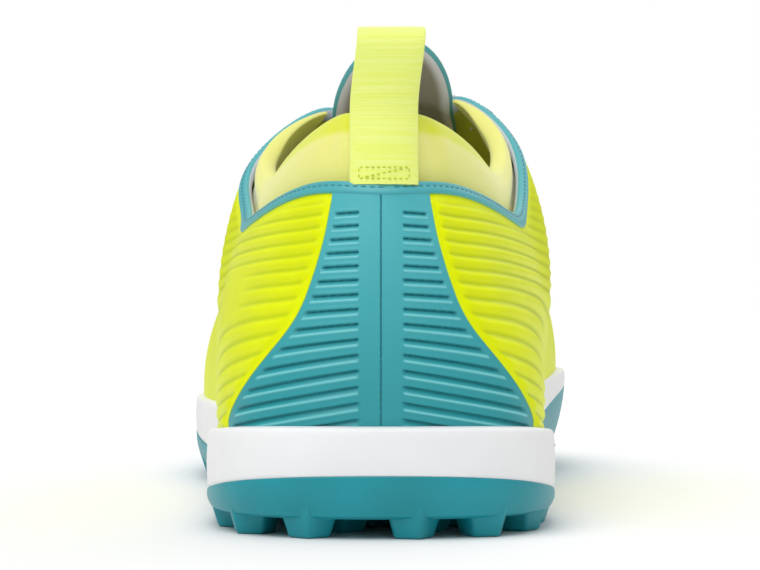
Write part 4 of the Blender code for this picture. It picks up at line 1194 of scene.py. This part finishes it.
turns = np.linspace(0, math.pi, 17)
path = part_way(outer_foot, outer_rim, 12) + part_way(outer_rim, rear, 8)
path += list(crown + points_of(0, -radius * np.cos(turns), radius * np.sin(turns)))
path += part_way(fore, inner_rim, 8)[1:] + part_way(inner_rim, inner_foot, 10) + [inner_foot]
path = np.array(path)
for _ in range(2):
    path[1:-1] = 0.25 * path[:-2] + 0.5 * path[1:-1] + 0.25 * path[2:]
runs = unit(np.gradient(path, axis=0))
flat_up = unit(np.cross(runs, np.array([1.0, 0.0, 0.0])))


# the legs bend with the collar's curve behind them
def curve_behind(x, out):
    """How far forward the leg at an offset from the top line bends at x."""
    line = surface(np.linspace(-0.03, 0.03, 61), 1.0, out)
    order = np.argsort(line[:, 0])
    return np.interp(x, line[order, 0], line[order, 1]) - np.interp(0.0, line[order, 0], line[order, 1])


ring = []
for a in np.linspace(0, 2 * math.pi, 41):
    w, h = blunt(math.cos(a), 0.3) * LOOP_WIDTH / 2, blunt(math.sin(a), 0.3) * half
    share = ease(outer_rim[2], LOOP_TOP, path[:, 2])
    outer_leg = np.arange(len(path)) < len(path) / 2
    curves = np.where(outer_leg, curve_behind(w, outside), curve_behind(w, inside))
    lean_x = w + LOOP_SHIFT + LOOP_LEAN * share
    ring.append(path + flat_up * h + points_of(lean_x, curves * (1 - share), 0.0))
webbing, tree, shader = material("polyester_webbing", Roughness=0.7, Sheen_Weight=0.35, Sheen_Roughness=0.4)
# plain-woven polyester tape: silky, translucent lime, weft ridges every half millimetre
weave = node(tree, "UVMap", uv_map="weave").outputs["UV"]
split = node(tree, "SeparateXYZ", {"Vector": weave})
stretched = node(tree, "Mapping", {"Vector": weave, "Scale": (1500.0, 110.0, 1.0)}).outputs[0]
slubs = node(tree, "TexNoise", {"Vector": stretched, "Scale": 1.0, "Detail": 3.0}).outputs[0]
weft = wave(tree, split.outputs[0], 0.00055)
heights = node(tree, "Math", {0: weft, 1: slubs}, operation="ADD").outputs[0]
emboss(tree, shader, heights, 0.10, 0.00006)
tint(tree, shader, linear("#e5f26c"), (linear("#ebf690"), between(tree, slubs, 0.25, 0.8)))
loop = make("pull_loop_webbing", lay(np.array(ring), fill=True), webbing, angle=50)
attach(loop, "root")
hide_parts("pull_loop")

lime_thread, tree, shader = material("lime_polyester_thread", Roughness=0.6)
# the loop's own thread, a shade stronger than the webbing
bloom(tree, shader, "#cfe03c", "#bccc30", 0.0008)
bm = bmesh.new()
box_half, box_low, box_high = 0.0051, 0.0006, 0.0030
box = [(-box_half, box_low), (box_half, box_low), (box_half, box_high), (-box_half, box_high)]
sides = list(zip(box, box[1:] + box[:1])) + [(box[0], box[2])]
for (x0, r0), (x1, r1) in sides:
    count = max(2, int(math.hypot(x1 - x0, r1 - r0) / 0.0011))
    for k in range(count):
        share = (k + 0.5) / count
        x, rise = x0 + (x1 - x0) * share, BINDING + r0 + (r1 - r0) * share
        spot = heel_edge + heel_n * (outside + half + 0.00005) + heel_up * rise
        spot = spot + np.array([x + LOOP_SHIFT, curve_behind(x, outside), 0])
        run = np.array([x1 - x0, 0, 0]) + heel_up * (r1 - r0)
        sew(bm, spot, run, heel_n, 0.0009, 0.0003, 0.0003)
box_stitch = make("pull_loop_stitches", bm, lime_thread)
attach(box_stitch, "root")
